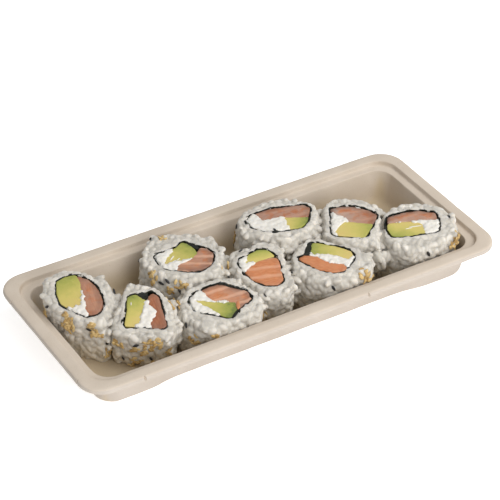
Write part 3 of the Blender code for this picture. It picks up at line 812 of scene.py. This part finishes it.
def rounded(loop, spacing=0.55 * MM):
    """A closed curve through the places of a loop, with places at an even spacing."""
    fine = []
    for i in range(len(loop)):
        before, start, end, after = (loop[(i + k) % len(loop)] for k in (-1, 0, 1, 2))
        reach = np.linalg.norm(end - start)
        back, on = np.linalg.norm(end - before), np.linalg.norm(after - start)
        leave = (end - before) * min(reach, back) / max(back, 1e-9)
        arrive = (after - start) * min(reach, on) / max(on, 1e-9)
        steps = max(1, round(reach / spacing))
        for t in np.arange(steps) / steps:
            fine.append((2 * t ** 3 - 3 * t ** 2 + 1) * start + (t ** 3 - 2 * t ** 2 + t) * leave
                        + (3 * t ** 2 - 2 * t ** 3) * end + (t ** 3 - t ** 2) * arrive)
    return np.array(fine)


def nori_ring(roll):
    curve = bpy.data.curves.new("ring", "CURVE")
    curve.dimensions, curve.fill_mode = "2D", "BOTH"
    curve.extrude = 0.5
    outer, inner = rounded(roll.outer), rounded(roll.inner)
    gap, nearest = beside(inner, outer)
    thin = np.array([0.2 + 0.5 * ripple(x, y, roll.number, 2 * MM) for x, y in inner]) * MM
    shift = np.where(gap < ONE_SHEET, np.minimum(thin.clip(0, None), gap - THINNEST), 0)
    inner += (nearest - inner) / gap[:, None] * shift[:, None]
    for loop in (outer, inner):
        spline = curve.splines.new("POLY")
        spline.points.add(len(loop) - 1)
        for point, (x, y) in zip(spline.points, loop):
            point.co = (x, y, 0.0, 1.0)
        spline.use_cyclic_u = True
    piece = bpy.data.objects.new(f"nori_{roll.number}", curve)
    bpy.context.scene.collection.objects.link(piece)
    pick(piece)
    bpy.ops.object.convert(target="MESH")
    piece = bpy.context.object
    bpy.ops.object.mode_set(mode="EDIT")
    bpy.ops.mesh.select_all(action="SELECT")
    bpy.ops.mesh.remove_doubles(threshold=0.001 * MM)
    for share in LEVELS:
        bpy.ops.mesh.select_all(action="SELECT")
        bpy.ops.mesh.bisect(plane_co=(0, 0, share - 0.5), plane_no=(0, 0, 1))
    bpy.ops.mesh.select_all(action="SELECT")
    bpy.ops.mesh.normals_make_consistent(inside=False)
    bpy.ops.object.mode_set(mode="OBJECT")
    places = points_of(piece)
    for i, (x, y, level) in enumerate(places):
        top = roll.cut_at((x, y))
        share = level + 0.5
        frayed = TORN_UP + sum(ripple(x, y, roll.number, size) * rise
                               for size, rise in FRAYS)
        z = FLOOR + (top - FLOOR) * share
        sway = Vector()
        for size, depth in WRINKLES:
            sway += noise.noise_vector(Vector((x, y, z)) / size) * depth
        places[i] = (x + roll.lean[0] * (z - top) + sway.x,
                     y + roll.lean[1] * (z - top) + sway.y, z + frayed * share ** 8)
    move_points(piece, places)
    pick(piece)
    bpy.ops.object.shade_smooth_by_angle(angle=math.radians(50))
    return piece


for roll in rolls:
    serve(nori_ring(roll), nori_finish, "nori", f"roll_{roll.number}_nori")

# %% [markdown]
# ## Fillings
# Each filling is soft, so its solid is turned into small even faces by a voxel remesh, relaxed, and
# swelled by the hair's breadth that the solids leave between pieces. Then the cut gets its own
# relief: salmon parts along its flakes, cheese crumbles, avocado keeps the drag of the knife. The
# filling is made too tall, and what stands above the cut is pressed down to a little relief. The table
# below says, for each roll, where its avocado is greenest, and how its salmon lies and is coloured.

# %% Fillings
# Roll: bearing of the avocado's green side, its extra green, bearing along the salmon's bands, how
# strong the painted brown shade at its edge beside the nori is and the strength of the bands. Then how
# grey the salmon is and how deep its colour is, each at the one end and at the other along its bands.
LOOKS = {
    1: (95, -0.05, 75, 0.6, 0.15, (0.3, 0.35), (0.4, 0.5)),
    2: (95, 0.0, 80, 0.5, 0.10, (0.0, 0.0), (0.95, 0.8)),
    3: (20, 0.0, -31, 0.85, 1.0, (0.2, 0.5), (0.3, 0.35)),
    4: (-45, 0.12, -6, 0.8, 1.0, (0.1, 0.5), (0.05, 0.15)),
    5: (75, 0.05, -20, 0.2, 0.8, (0.0, 0.0), (0.0, 0.0)),
    6: (-35, 0.05, -10, 0.7, 0.25, (0.45, 0.45), (0.65, 0.5)),
    7: (150, -0.05, -45, 0.1, 0.10, (0.0, 0.0), (0.0, 0.0)),
    8: (-20, -0.12, -20, 0.8, 0.25, (1.0, 0.1), (0.15, 0.85)),
    9: (-140, -0.08, 0, 0.7, 0.25, (0.6, 0.5), (0.4, 0.4))}
SWELL = {"avocado": 0.36 * MM, "salmon": 0.40 * MM, "cheese": 0.55 * MM}
RELIEF = {"avocado": (5 * MM, 0.6 * MM), "salmon": (3 * MM, 1.2 * MM),
          "cheese": (1.7 * MM, 2.2 * MM)}    # size and depth of the lumps
VOXEL = 0.5 * MM
TRAY_FLOOR = 1.25 * MM
SPARE = 2 * MM    # height above the cut before the knife
PROUD = {"avocado": 0.10 * MM, "salmon": 0.12 * MM, "cheese": 0.28 * MM}    # and after it
UNCUT = {"avocado": 0.15, "salmon": 0.35, "cheese": 0.6}    # how much of the relief the knife leaves
DEEPEST, HIGHEST = -0.7 * MM, 0.9 * MM    # of the relief before the knife
# painted shade: how far in from the nori the salmon is darkened brown
NORI_SHADE_REACH = 3.2 * MM    # how far in from the nori the salmon turns brown
patterns = {kind: lumps(kind, size) for kind, (size, _) in RELIEF.items()}
finishes = {"avocado": avocado_finish, "salmon": salmon_finish, "cheese": cheese_finish}
SLOTS = {"cheese": "cream_cheese"}    # the other fillings' slots have their own names


def turned(flat, bearing):
    """Flat places as (along, across) a bearing."""
    turn = math.radians(bearing)
    return np.column_stack([flat @ (math.cos(turn), math.sin(turn)),
                            flat @ (-math.sin(turn), math.cos(turn))])


def filling(roll, kind):
    piece = copy_of(f"roll_{roll.number}_{kind}", f"{kind}_{roll.number}")
    places = points_of(piece)
    places[places[:, 2] > UPPER] += (*(roll.lean * SPARE), SPARE)
    move_points(piece, places)
    shape(piece, "REMESH", mode="VOXEL", voxel_size=VOXEL)
    shape(piece, "SMOOTH", factor=0.5, iterations=4)
    shape(piece, "DISPLACE", strength=SWELL[kind], mid_level=0.0)
    shape(piece, "DISPLACE", texture=patterns[kind], strength=RELIEF[kind][1], mid_level=0.5,
          texture_coords="LOCAL")
    places = points_of(piece)
    proud = places[:, 2] - roll.cut_at(places[:, :2])
    relief = (proud - SPARE).clip(DEEPEST, HIGHEST) * UNCUT[kind]
    places[:, 2] += np.where(proud > 0, PROUD[kind] + relief - proud, 0)
    places[:, 2] = places[:, 2].clip(TRAY_FLOOR, None)
    move_points(piece, places)
    green, extra, lie, brown, bands, *changing = LOOKS[roll.number]
    upright = roll.upright(places)
    if kind == "avocado":
        along = turned(upright, green)[:, 0]
        mark_points(piece, "ripe", (along - along.min()) / np.ptp(along) + extra)
    if kind == "salmon":
        flesh = np.column_stack([turned(upright - roll.centre, lie), places[:, 2]]) / MM
        mark_points(piece, "flesh", flesh)
        gap, _ = beside(upright, roll.inner)
        # painted shade beside the nori, strongest at the nori and fading inwards
        mark_points(piece, "edge", (1 - gap / NORI_SHADE_REACH).clip(0, 1) * brown)
        mark_points(piece, "bands", np.full(len(places), bands))
        share = (flesh[:, 0] - flesh[:, 0].min()) / np.ptp(flesh[:, 0])
        for name, (near, far) in zip(("grey", "deep"), changing):
            mark_points(piece, name, near + (far - near) * share)
    smooth_shaded(piece)
    return piece


for roll in rolls:
    for kind in ("avocado", "salmon", "cheese"):
        serve(filling(roll, kind), finishes[kind], SLOTS.get(kind, kind),
              f"roll_{roll.number}_{kind}")

# %% [markdown]
# ## Rice, grain by grain
# The outside of a roll is hundreds of grains pressed into each other. Under them lies a core, made
# from the roll's rice solid: remeshed, relaxed and drawn in by a third of a grain's thickness, but not
# where it meets the nori. Relaxed and without the solid's bumps, it is also the even surface that the
# places of grains and seeds are measured from.

# %% Rice cores
DRAWN_IN = 0.9 * MM
CORE_VOXEL = 0.8 * MM
LIP = 0.7 * MM    # the rice this close to the nori is made too tall first, as the fillings are
HELD, HELD_FADES = 0.6 * MM, 1.2 * MM    # the core isn't drawn in this close to the nori


def rice_core(roll):
    piece = copy_of(f"roll_{roll.number}_rice", f"rice_{roll.number}")
    places = points_of(piece)
    gap, _ = beside(roll.upright(places), roll.outline)
    lip = (gap < LIP) & (places[:, 2] > UPPER)
    places[lip] += (*(roll.lean * SPARE), SPARE)
    move_points(piece, places)
    shape(piece, "REMESH", mode="VOXEL", voxel_size=CORE_VOXEL)
    shape(piece, "SMOOTH", factor=0.5, iterations=4)
    places, normals = points_of(piece), normals_of(piece)
    gap, _ = beside(roll.upright(places), roll.outline)
    free = ((gap - HELD) / HELD_FADES).clip(0, 1) * (places[:, 2] > FLOOR + 0.5 * MM)
    move_points(piece, places - normals * free[:, None] * DRAWN_IN)
    return piece


for roll in rolls:
    roll.outline = rounded(roll.outer)
    roll.core = rice_core(roll)
    roll.even = surface_of([roll.core])
    print(roll.core.name, len(roll.core.data.polygons), "faces in the core")
even_surface = surface_of([roll.core for roll in rolls])

# %% [markdown]
# ## One grain, made five times
# A cooked grain of short rice is about 6 mm long and 3 mm thick, blunt, a little bent and never quite
# the same. A low sphere is turned to lie along X, stretched, then one end is squeezed and the middle
# pushed aside. Each roll wears hundreds of them, so a grain has only a few dozen faces.

# %% Grain shapes
# Length, width and thickness in mm, how thick the far end stays, and the bend in mm
GRAINS = ((6.2, 3.5, 3.0, 0.95, 0.25), (5.6, 3.6, 3.1, 1.0, -0.3), (6.7, 3.4, 2.9, 0.9, 0.45),
          (5.2, 3.5, 3.0, 1.0, 0.1), (4.5, 3.5, 3.0, 1.1, 0.2))


def seed_shape(length, width, thick, end, bend):
    """Points and faces of one grain or seed of these sizes in mm, lying along X."""
    length, width, thick, bend = (size * MM for size in (length, width, thick, bend))
    bpy.ops.object.select_all(action="DESELECT")
    bpy.ops.mesh.primitive_uv_sphere_add(segments=8, ring_count=6, radius=0.5)
    grain = bpy.context.object
    bpy.ops.object.mode_set(mode="EDIT")
    bpy.ops.transform.rotate(value=math.pi / 2, orient_axis="Y", center_override=(0, 0, 0))
    bpy.ops.transform.resize(value=(length, width, thick), center_override=(0, 0, 0))
    for low, high, change in ((0.15, 0.6, end), (-0.2, 0.2, None)):
        bpy.ops.object.mode_set(mode="OBJECT")
        for vertex in grain.data.vertices:
            vertex.select = low < vertex.co.x / length < high
        bpy.ops.object.mode_set(mode="EDIT")
        bpy.ops.mesh.select_mode(type="VERT")
        if change is None:
            bpy.ops.transform.translate(value=(0, bend, 0))
        else:
            bpy.ops.transform.resize(value=(1, change, change),
                                     center_override=(0.15 * length, 0, 0))
    bpy.ops.object.mode_set(mode="OBJECT")
    points = points_of(grain).copy()
    faces = [tuple(face.vertices) for face in grain.data.polygons]
    bpy.data.objects.remove(grain, do_unlink=True)
    return points, faces


grains = [seed_shape(*sizes) for sizes in GRAINS]
print(len(grains), "grains of", len(grains[0][1]), "faces")

# %% [markdown]
# ## Where a place in the picture lies
# Some rice is stuck on in lumps, and the seeds lie where the photo shows them. A place in the picture
# is turned into a line from the camera, as a camera's view is a fan of lines, and the line meets the
# rice at the real place. Lumps are a few soft grains round such a place.

# %% Lines of sight and lumps
# Lumps of rice stuck together: roll, place in the picture, height in mm or None for the roll's
# side, reach in mm, number of grains
LUMP_RAISED, LUMP_TILT, LUMP_SIZE, LUMP_TONE = 0.1 * MM, 0.3, 1.3, 0.8
LUMPS = ((1, 52, 273, None, 2.5, 3), (4, 208, 325, None, 4.0, 6), (4, 200, 329, None, 2.0, 3),
         (4, 256, 309, None, 3.0, 4), (6, 314, 228, None, 2.5, 3), (7, 309, 284, None, 2.0, 3),
         (7, 368, 263, None, 3.0, 3), (9, 378, 254, 18, 2.0, 5), (9, 384, 262, 15, 2.2, 5),
         (9, 384, 240, 21, 1.5, 3), (9, 417, 251, None, 3.5, 5))
PICTURE = 500


def sight_line(across, down):
    """The direction in which the camera sees a place in the picture."""
    spread = lens.sensor_width / lens.lens / PICTURE
    ray = Vector(((across - PICTURE / 2) * spread, (PICTURE / 2 - down) * spread, -1))
    ray.rotate(camera.rotation_euler)
    return ray.normalized()


def seen_at(surface, across, down):
    """Where that line meets a surface."""
    return surface.ray_cast(Vector(CAMERA_AT), sight_line(across, down))[0]


def lumps_on(roll):
    """Big soft grains where the photo shows rice stuck together on this roll."""
    spots = []
    for number, across, down, height, reach, count in LUMPS:
        if number != roll.number:
            continue
        way = sight_line(across, down)
        line = [Vector(CAMERA_AT) + way * (z * MM - CAMERA_AT[2]) / way.z for z in range(2, 26)]
        if height:
            middle = line[height - 2]
        else:
            middle = min(line, key=lambda place: roll.even.find_nearest(place)[3])
        for _ in range(count):
            place = middle + Vector([draw.uniform(-reach, reach) * MM for _ in range(3)])
            under, normal, _, _ = roll.even.find_nearest(place)
            if not height:
                place = under + normal * LUMP_RAISED
            spots.append((draw.randrange(len(grains)),
                          laid(place, normal, 0, LUMP_TILT, LUMP_SIZE), LUMP_TONE))
    return spots


print(len(LUMPS), "lumps of", sum(count for *_, count in LUMPS), "grains")

# %% [markdown]
# ## Laying grains and spacing them out
# A grain or a seed is laid on a surface, turned at random, tilted a little and never quite the same
# size. Places are drawn evenly over a surface by area, and those too close to one that is already
# taken are left out. A grid of boxes as wide as the spacing keeps that search short.

# %% Lay, space out and join
ROCKED = 0.5    # radians about a grain's own length
UNLIKE = ((0.9, 1.1), (0.9, 1.08), (0.88, 1.05))    # change of length, width and thickness


def joined(name, shapes, spots):
    """One mesh of many copies. A spot is a shape's number, a matrix and the copy's random share."""
    points, faces, shares, start = [], [], [], 0
    for kind, matrix, share in spots:
        own, own_faces = shapes[kind]
        lay = np.array(matrix)
        points.append(own @ lay[:3, :3].T + lay[:3, 3])
        faces += [tuple(start + i for i in face) for face in own_faces]
        shares += [share] * len(own)
        start += len(own)
    piece = piece_from(name, np.vstack(points).tolist(), faces)
    mark_points(piece, "grain", shares)
    smooth_shaded(piece)
    return piece


def laid(place, normal, sink, tilt, size=1.0):
    """A matrix that lays a grain on a surface, turned at random about the normal and tilted."""
    up = Vector(normal).normalized()
    basis = up.to_track_quat("Z", "X").to_matrix().to_4x4()
    turn = Matrix.Rotation(draw.uniform(0, math.tau), 4, "Z")
    lean = Matrix.Rotation(draw.uniform(-tilt, tilt), 4, "Y")
    lean = lean @ Matrix.Rotation(draw.uniform(-ROCKED, ROCKED), 4, "X")
    scale = Matrix.Diagonal([size * draw.uniform(*change) for change in UNLIKE] + [1])
    return Matrix.Translation(Vector(place) - up * sink) @ basis @ turn @ lean @ scale


def spaced_out(points, spacing):
    """Numbers of the places, in their order, that lie no closer to each other than the spacing."""
    kept, grid = [], {}
    for i, place in enumerate(points):
        key = tuple(int(v // spacing) for v in place)
        near = [j for dx in (-1, 0, 1) for dy in (-1, 0, 1) for dz in (-1, 0, 1)
                for j in grid.get((key[0] + dx, key[1] + dy, key[2] + dz), ())]
        if all(math.dist(points[j], place) >= spacing for j in near):
            grid.setdefault(key, []).append(i)
            kept.append(i)
    return kept


def random_places(piece, count, generator):
    """Places spread evenly by area over a mesh of triangles, with the normals there."""
    mesh = piece.data
    mesh.calc_loop_triangles()
    triangles = np.array([t.vertices[:] for t in mesh.loop_triangles])
    corners = points_of(piece)[triangles]
    cross = np.cross(corners[:, 1] - corners[:, 0], corners[:, 2] - corners[:, 0])
    area = np.linalg.norm(cross, axis=1)
    chosen = generator.choice(len(area), count, p=area / area.sum())
    first = np.sqrt(generator.random_sample(count))[:, None]
    second = generator.random_sample(count)[:, None]
    picked = corners[chosen]
    places = ((1 - first) * picked[:, 0] + first * (1 - second) * picked[:, 1]
              + first * second * picked[:, 2])
    return places, cross[chosen] / area[chosen][:, None]


print("ready to lay grains")

# %% [markdown]
# ## Packing the grains
# Grains are dropped at random places of the rice solid's surface, less than a grain's width apart, and
# each is laid flat on the surface with a small tilt. More grains fill the narrow gaps to the next
# rolls, as crowded rice does. Core and grains are then fused into one skin by a fine voxel remesh. On
# the side they bulge. On the cut the knife has levelled them, so what stands above the cut is pressed
# nearly flat, and what would lie over the nori is pushed back against it. Every point of the skin
# remembers the grain that it belongs to and how near the seam with the next grain is.

# %% Scatter grains
SPACING, BRIDGE_SPACING = 2.3 * MM, 2.8 * MM
SIDE_SINK, CUT_SINK = 1.2 * MM, 1.4 * MM    # how deep a grain lies
FUSED = 0.43 * MM
TRIES = 7000
EVENED = 0.6    # how far the solid's own bumps are levelled before grains go on
CROWDED = (7, 8)    # rice fills the gaps between these rolls and the next
BELOW_CUT = 3.5 * MM    # no bridging grain lies higher than this
SEAM_WIDTH = 0.3    # of a grain's half size
PRESSED, STANDS_PROUD = 0.8, 0.6 * MM    # how far the knife levels the cut, and what it leaves
LAP, LAP_CHANGE = 0.35 * MM, 1.0 * MM    # how far rice may lie over the nori, and how unevenly
LEAST_LAP, LAP_WAVES = -0.05 * MM, 2 * MM
PUSHED_DOWN_TO = 7 * MM    # below the cut
AT_NORI, RISE = 0.05 * MM, 0.12    # the pressed rice stands this proud, and more further out
NORI_CLEAR, FLOOR_CLEAR = 0.9 * MM, 0.6 * MM    # no grain's middle lies closer to either
GRAIN_TILT, BRIDGE_TILT = 0.15, 0.25


def bridging(roll, places):
    """Places between this roll and the next ones, where grains fill the gap."""
    others = surface_of([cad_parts[f"roll_{n}_rice"] for n in ROLLS if n > roll.number])
    reach, floor = (8 * MM, 4 * MM) if roll.number in CROWDED else (4 * MM, 8 * MM)
    middles = []
    for place in places:
        near = others.find_nearest(place, reach)[0]
        if near:
            middle = Vector(place).lerp(near, draw.uniform(0.25, 0.75))
            if floor < middle.z < roll.cut_at(place[:2]) - BELOW_CUT:
                middles.append(middle[:])
    return [middles[i] for i in spaced_out(middles, BRIDGE_SPACING)]


def nearest_grain(points, spots):
    """For each point, the grain that it lies on, and how near it is to the seam with the next."""
    tree = KDTree(len(spots))
    for i, (_, matrix, _) in enumerate(spots):
        tree.insert(matrix.translation, i)
    tree.balance()
    into = np.array([matrix.inverted() for _, matrix, _ in spots])
    half = np.array([np.ptp(grains[kind][0], axis=0) / 2 for kind, _, _ in spots])
    near = np.array([[found[1] for found in tree.find_n(point, 6)] for point in points])
    local = np.einsum("pkij,pj->pki", into[near][..., :3], points) + into[near][..., 3]
    reach = np.linalg.norm(local[..., :3] / half[near], axis=2)
    order = reach.argsort(1)
    rows = np.arange(len(points))
    first, second = reach[rows, order[:, 0]], reach[rows, order[:, 1]]
    return near[rows, order[:, 0]], 1 - ((second - first) / SEAM_WIDTH).clip(0, 1)


def grain_spots(roll):
    """Where the grains of a roll lie: on its surface, in the gaps to the next rolls, and in lumps."""
    solid = copy_of(f"roll_{roll.number}_rice", "surface")
    places, _ = random_places(solid, TRIES, np.random.RandomState(SEED + roll.number))
    bpy.data.objects.remove(solid, do_unlink=True)
    upright = roll.upright(places)
    gap, _ = beside(upright, roll.outline)
    outside = ~within(upright, roll.outline)
    places = places[(gap > NORI_CLEAR) & outside & (places[:, 2] > FLOOR + FLOOR_CLEAR)]
    spots = []
    for i in spaced_out(places, SPACING):
        under, normal, _, _ = roll.even.find_nearest(places[i])
        place = Vector(places[i]).lerp(under + normal * DRAWN_IN, EVENED)
        sink = (SIDE_SINK if normal.z < 0.25 else CUT_SINK) + draw.uniform(-0.3, 0.2) * MM
        spots.append((draw.randrange(len(grains)), laid(place, normal, sink, GRAIN_TILT),
                      draw.random()))
    for middle in bridging(roll, places[::2]):
        spots.append((draw.randrange(len(grains)), laid(middle, (0, 0, 1), 0, BRIDGE_TILT),
                      draw.random()))
    return spots + lumps_on(roll)


def pressed(roll, points):
    """The skin's points after the knife: level on the cut, and kept off the nori."""
    upright = roll.upright(points)
    gap, nearest = beside(upright, roll.outline)
    inside = within(upright, roll.outline)
    above = points[:, 2] - roll.cut_at(points[:, :2])
    level = (AT_NORI + gap * RISE).clip(0, STANDS_PROUD)
    points[:, 2] -= np.where(above > level, PRESSED * (above - level), 0)
    side = np.where(inside, -1, 1)[:, None]
    away = (upright - nearest) / np.maximum(gap, 1e-9)[:, None] * side
    lap = np.array([LAP + ripple(*place, LAP_WAVES) * LAP_CHANGE for place in points])
    lap = lap.clip(LEAST_LAP, None)
    pushed = (above > -PUSHED_DOWN_TO) & inside & (gap > lap)
    points[:, :2] += np.where(pushed[:, None], nearest - away * lap[:, None] - upright, 0)
    points[:, 2] = points[:, 2].clip(TRAY_FLOOR, solid_box[1].z)
    return points


def packed_rice(roll):
    """The core with its grains pressed into it and into each other."""
    spots = grain_spots(roll)
    loose = joined("grains", grains, spots)
    pick(roll.core)
    loose.select_set(True)
    bpy.ops.object.join()
    piece = roll.core
    shape(piece, "REMESH", mode="VOXEL", voxel_size=FUSED)
    shape(piece, "SMOOTH", factor=0.5, iterations=1)
    points = pressed(roll, points_of(piece))
    move_points(piece, points)
    grain, seam_shade = nearest_grain(points, spots)
    mark_points(piece, "grain", np.array([share for _, _, share in spots])[grain])
    # painted shade: how near each point is to the seam with the next grain
    mark_points(piece, "seam_shade", seam_shade)
    smooth_shaded(piece)
    return piece, len(spots)


for roll in rolls:
    piece, count = packed_rice(roll)
    serve(piece, rice_finish, "rice", f"roll_{roll.number}_rice")
    print(count, "grains")

# %% [markdown]
# ## Bits on the cuts
# The knife drags things along: a shred of salmon and a fold of nori beside the avocado of the fourth
# roll, a scrap of nori on the sixth, and smears of cheese on the avocado of some others. Each is a
# small soft shape laid on the cut where the photo shows it, half sunk in.

# %% Bits
BIT_LIFT = 0.25 * MM
# Roll, place in the picture, bearing, then length, width and thickness in mm
BITS = {
    "salmon": ((4, 238.5, 305.5, 62, 6.5, 2.7, 1.5),),
    "nori": ((4, 236.3, 314.0, 35, 8.0, 2.3, 1.2), (4, 239.8, 310.5, 62, 4.0, 1.6, 1.2),
             (6, 275.5, 232.5, -20, 3.6, 3.0, 1.9)),
    "cheese": ((3, 172.5, 258.5, 35, 4.2, 0.9, 0.7), (3, 173.5, 262.5, 15, 3.8, 1.0, 0.7),
               (3, 178.5, 260.0, 20, 3.0, 0.6, 0.6), (9, 415.5, 227.0, -20, 6.5, 0.8, 0.7),
               (9, 409.0, 229.0, -12, 4.0, 0.6, 0.6), (8, 358.0, 208.5, -45, 2.6, 0.8, 0.7),
               (2, 131.5, 304.0, 60, 3.0, 0.7, 0.6))}


def on_cut(roll, across, down):
    """Where the camera's line through a place in the picture meets a roll's cut."""
    way, eye = np.array(sight_line(across, down)), np.array(CAMERA_AT)
    slope = np.array([*roll.cut[1:], -1.0])
    return Vector(eye - way * (roll.cut[0] + slope @ eye) / (slope @ way))


for kind, bits in BITS.items():
    shapes = [seed_shape(*sizes, 0.8, 0.2) for _, _, _, _, *sizes in bits]
    spots = []
    for number, (which, across, down, bearing, *_) in enumerate(bits):
        place = on_cut(rolls[which - 1], across, down) + Vector((0, 0, BIT_LIFT))
        turn = Matrix.Rotation(math.radians(bearing), 4, "Z")
        spots.append((number, Matrix.Translation(place) @ turn, 0.5))
    piece = joined(f"{kind}_bits", shapes, spots)
    shape(piece, "SUBSURF", levels=1, render_levels=1)
    serve(piece, {**finishes, "nori": nori_finish}[kind], SLOTS.get(kind, kind))

# %% [markdown]
# ## Sesame
# The rolls are dipped in black and toasted sesame before they are cut. Each black seed that the photo
# shows is laid where its line of sight meets the rice, and raised to the even surface where it would
# lie hidden between grains. Toasted seeds come in clusters, and each seed settles on the rice.

# %% Seeds that show
# Places in the picture
BLACK = ((113, 292), (162, 283), (168, 281), (136, 345), (151, 357.5), (106.5, 343), (124, 356.5),
         (180, 291), (188, 325), (151.5, 240), (237.5, 227), (275.5, 232), (251, 208), (333, 287),
         (454, 215.5), (459, 238), (428, 253.5), (435.5, 258.5), (48, 306.5), (90, 328), (243, 254))
# Place in the picture, the cluster's radius in mm and its number of seeds
GOLDEN = ((67, 322, 3.2, 22), (70, 327, 2.3, 11), (91, 326, 1.8, 9), (93, 333, 2.1, 11),
          (98, 337, 1.8, 9), (112, 353, 2.8, 19), (118, 344, 2.1, 11), (139, 351, 3.0, 20),
          (137, 362, 3.0, 20), (149, 345, 2.5, 15), (157, 344, 2.1, 11), (152, 364, 1.8, 9),
          (169, 350, 1.6, 7), (162, 238, 1.8, 9), (152, 278.5, 2.8, 15), (181, 285, 2.5, 13),
          (171, 291, 1.8, 9), (194, 339, 2.3, 11), (215, 338, 2.1, 9), (225, 269, 2.1, 11),
          (258, 202.5, 2.5, 13), (364, 273, 2.1, 11), (369, 280, 2.5, 15), (450, 209, 1.8, 9),
          (455, 241, 3.7, 30), (459, 232, 2.1, 11))
SETTLED, SPREAD = 0.8, 1.15    # share of a cluster's seeds and radius that are used
SEED_TILT, CLUSTER_TILT = 0.15, 0.25
FALL, REACH_DOWN = 3 * MM, 8 * MM    # how high a seed starts and how far it may fall
BLACK_RAISED = 0.6 * MM
rice_surface = surface_of([roll.core for roll in rolls])
black_shape = seed_shape(3.1, 2.3, 1.3, 0.6, 0.0)
golden_shapes = [seed_shape(3.1, 2.3, 1.2, 0.7, 0.1), seed_shape(2.6, 2.1, 1.1, 0.8, 0.0)]


def cluster(place, normal, radius, count):
    """Seeds of one cluster: each is dropped beside the middle and settles on the rice."""
    spots = []
    basis = normal.to_track_quat("Z", "X")
    for _ in range(round(count * SETTLED)):
        turn, reach = draw.uniform(0, math.tau), SPREAD * radius * MM * math.sqrt(draw.random())
        above = place + basis @ Vector((reach * math.cos(turn), reach * math.sin(turn), FALL))
        lands, out, _, _ = rice_surface.ray_cast(above, -normal, REACH_DOWN)
        if lands:
            kind, sink = draw.randrange(len(golden_shapes)), draw.uniform(-0.4, 0.1) * MM
            spots.append((kind, laid(lands, normal * 3 + out, sink, CLUSTER_TILT), draw.random()))
    return spots


black, golden = [], []
for across, down in BLACK:
    place = seen_at(rice_surface, across, down)
    if place:
        under, normal, _, _ = even_surface.find_nearest(place)
        height = max((place - under).dot(normal), DRAWN_IN)
        place = under + normal * height
        black.append((0, laid(place, normal, -BLACK_RAISED, SEED_TILT), draw.random()))
for across, down, radius, count in GOLDEN:
    place = seen_at(rice_surface, across, down)
    if place:
        golden += cluster(place, even_surface.find_nearest(place)[1], radius, count)
print(len(black), "black and", len(golden), "golden seeds in view")

# %% [markdown]
# ## Seeds on the far sides
# The photo doesn't show the backs of the rolls. Each gets a few black seeds and clusters at random, on
# its upright side and facing away from the camera, so that nothing new comes into the camera's view.

# %% Hidden seeds
UNSEEN_BLACK, UNSEEN_CLUSTERS = 5, 3    # for each roll
UNSEEN_TRIES = 400
UNSEEN_RAISED = 0.5 * MM
ABOVE_FLOOR, UNDER_CUT = 3 * MM, 1.5 * MM
for roll in rolls:
    places, _ = random_places(roll.core, UNSEEN_TRIES, np.random.RandomState(SEED * roll.number))
    unseen = []
    for place in map(Vector, places):
        normal = roll.even.find_nearest(place)[1]
        on_side = FLOOR + ABOVE_FLOOR < place.z < roll.cut_at(place[:2]) - UNDER_CUT
        if abs(normal.z) < 0.5 and on_side and normal.dot(Vector(CAMERA_AT) - place) < 0:
            unseen.append((place, normal))
    for place, normal in unseen[:UNSEEN_BLACK]:
        black.append((0, laid(place, normal, -UNSEEN_RAISED, SEED_TILT), draw.random()))
    for place, normal in unseen[UNSEEN_BLACK:UNSEEN_BLACK + UNSEEN_CLUSTERS]:
        golden += cluster(place, normal, draw.uniform(1.5, 3.2), draw.randrange(7, 20))
print(len(black), "black and", len(golden), "golden seeds in all")
serve(joined("sesame_black", [black_shape], black), black_finish, "rice")
serve(joined("sesame_golden", golden_shapes, golden), golden_finish, "rice")
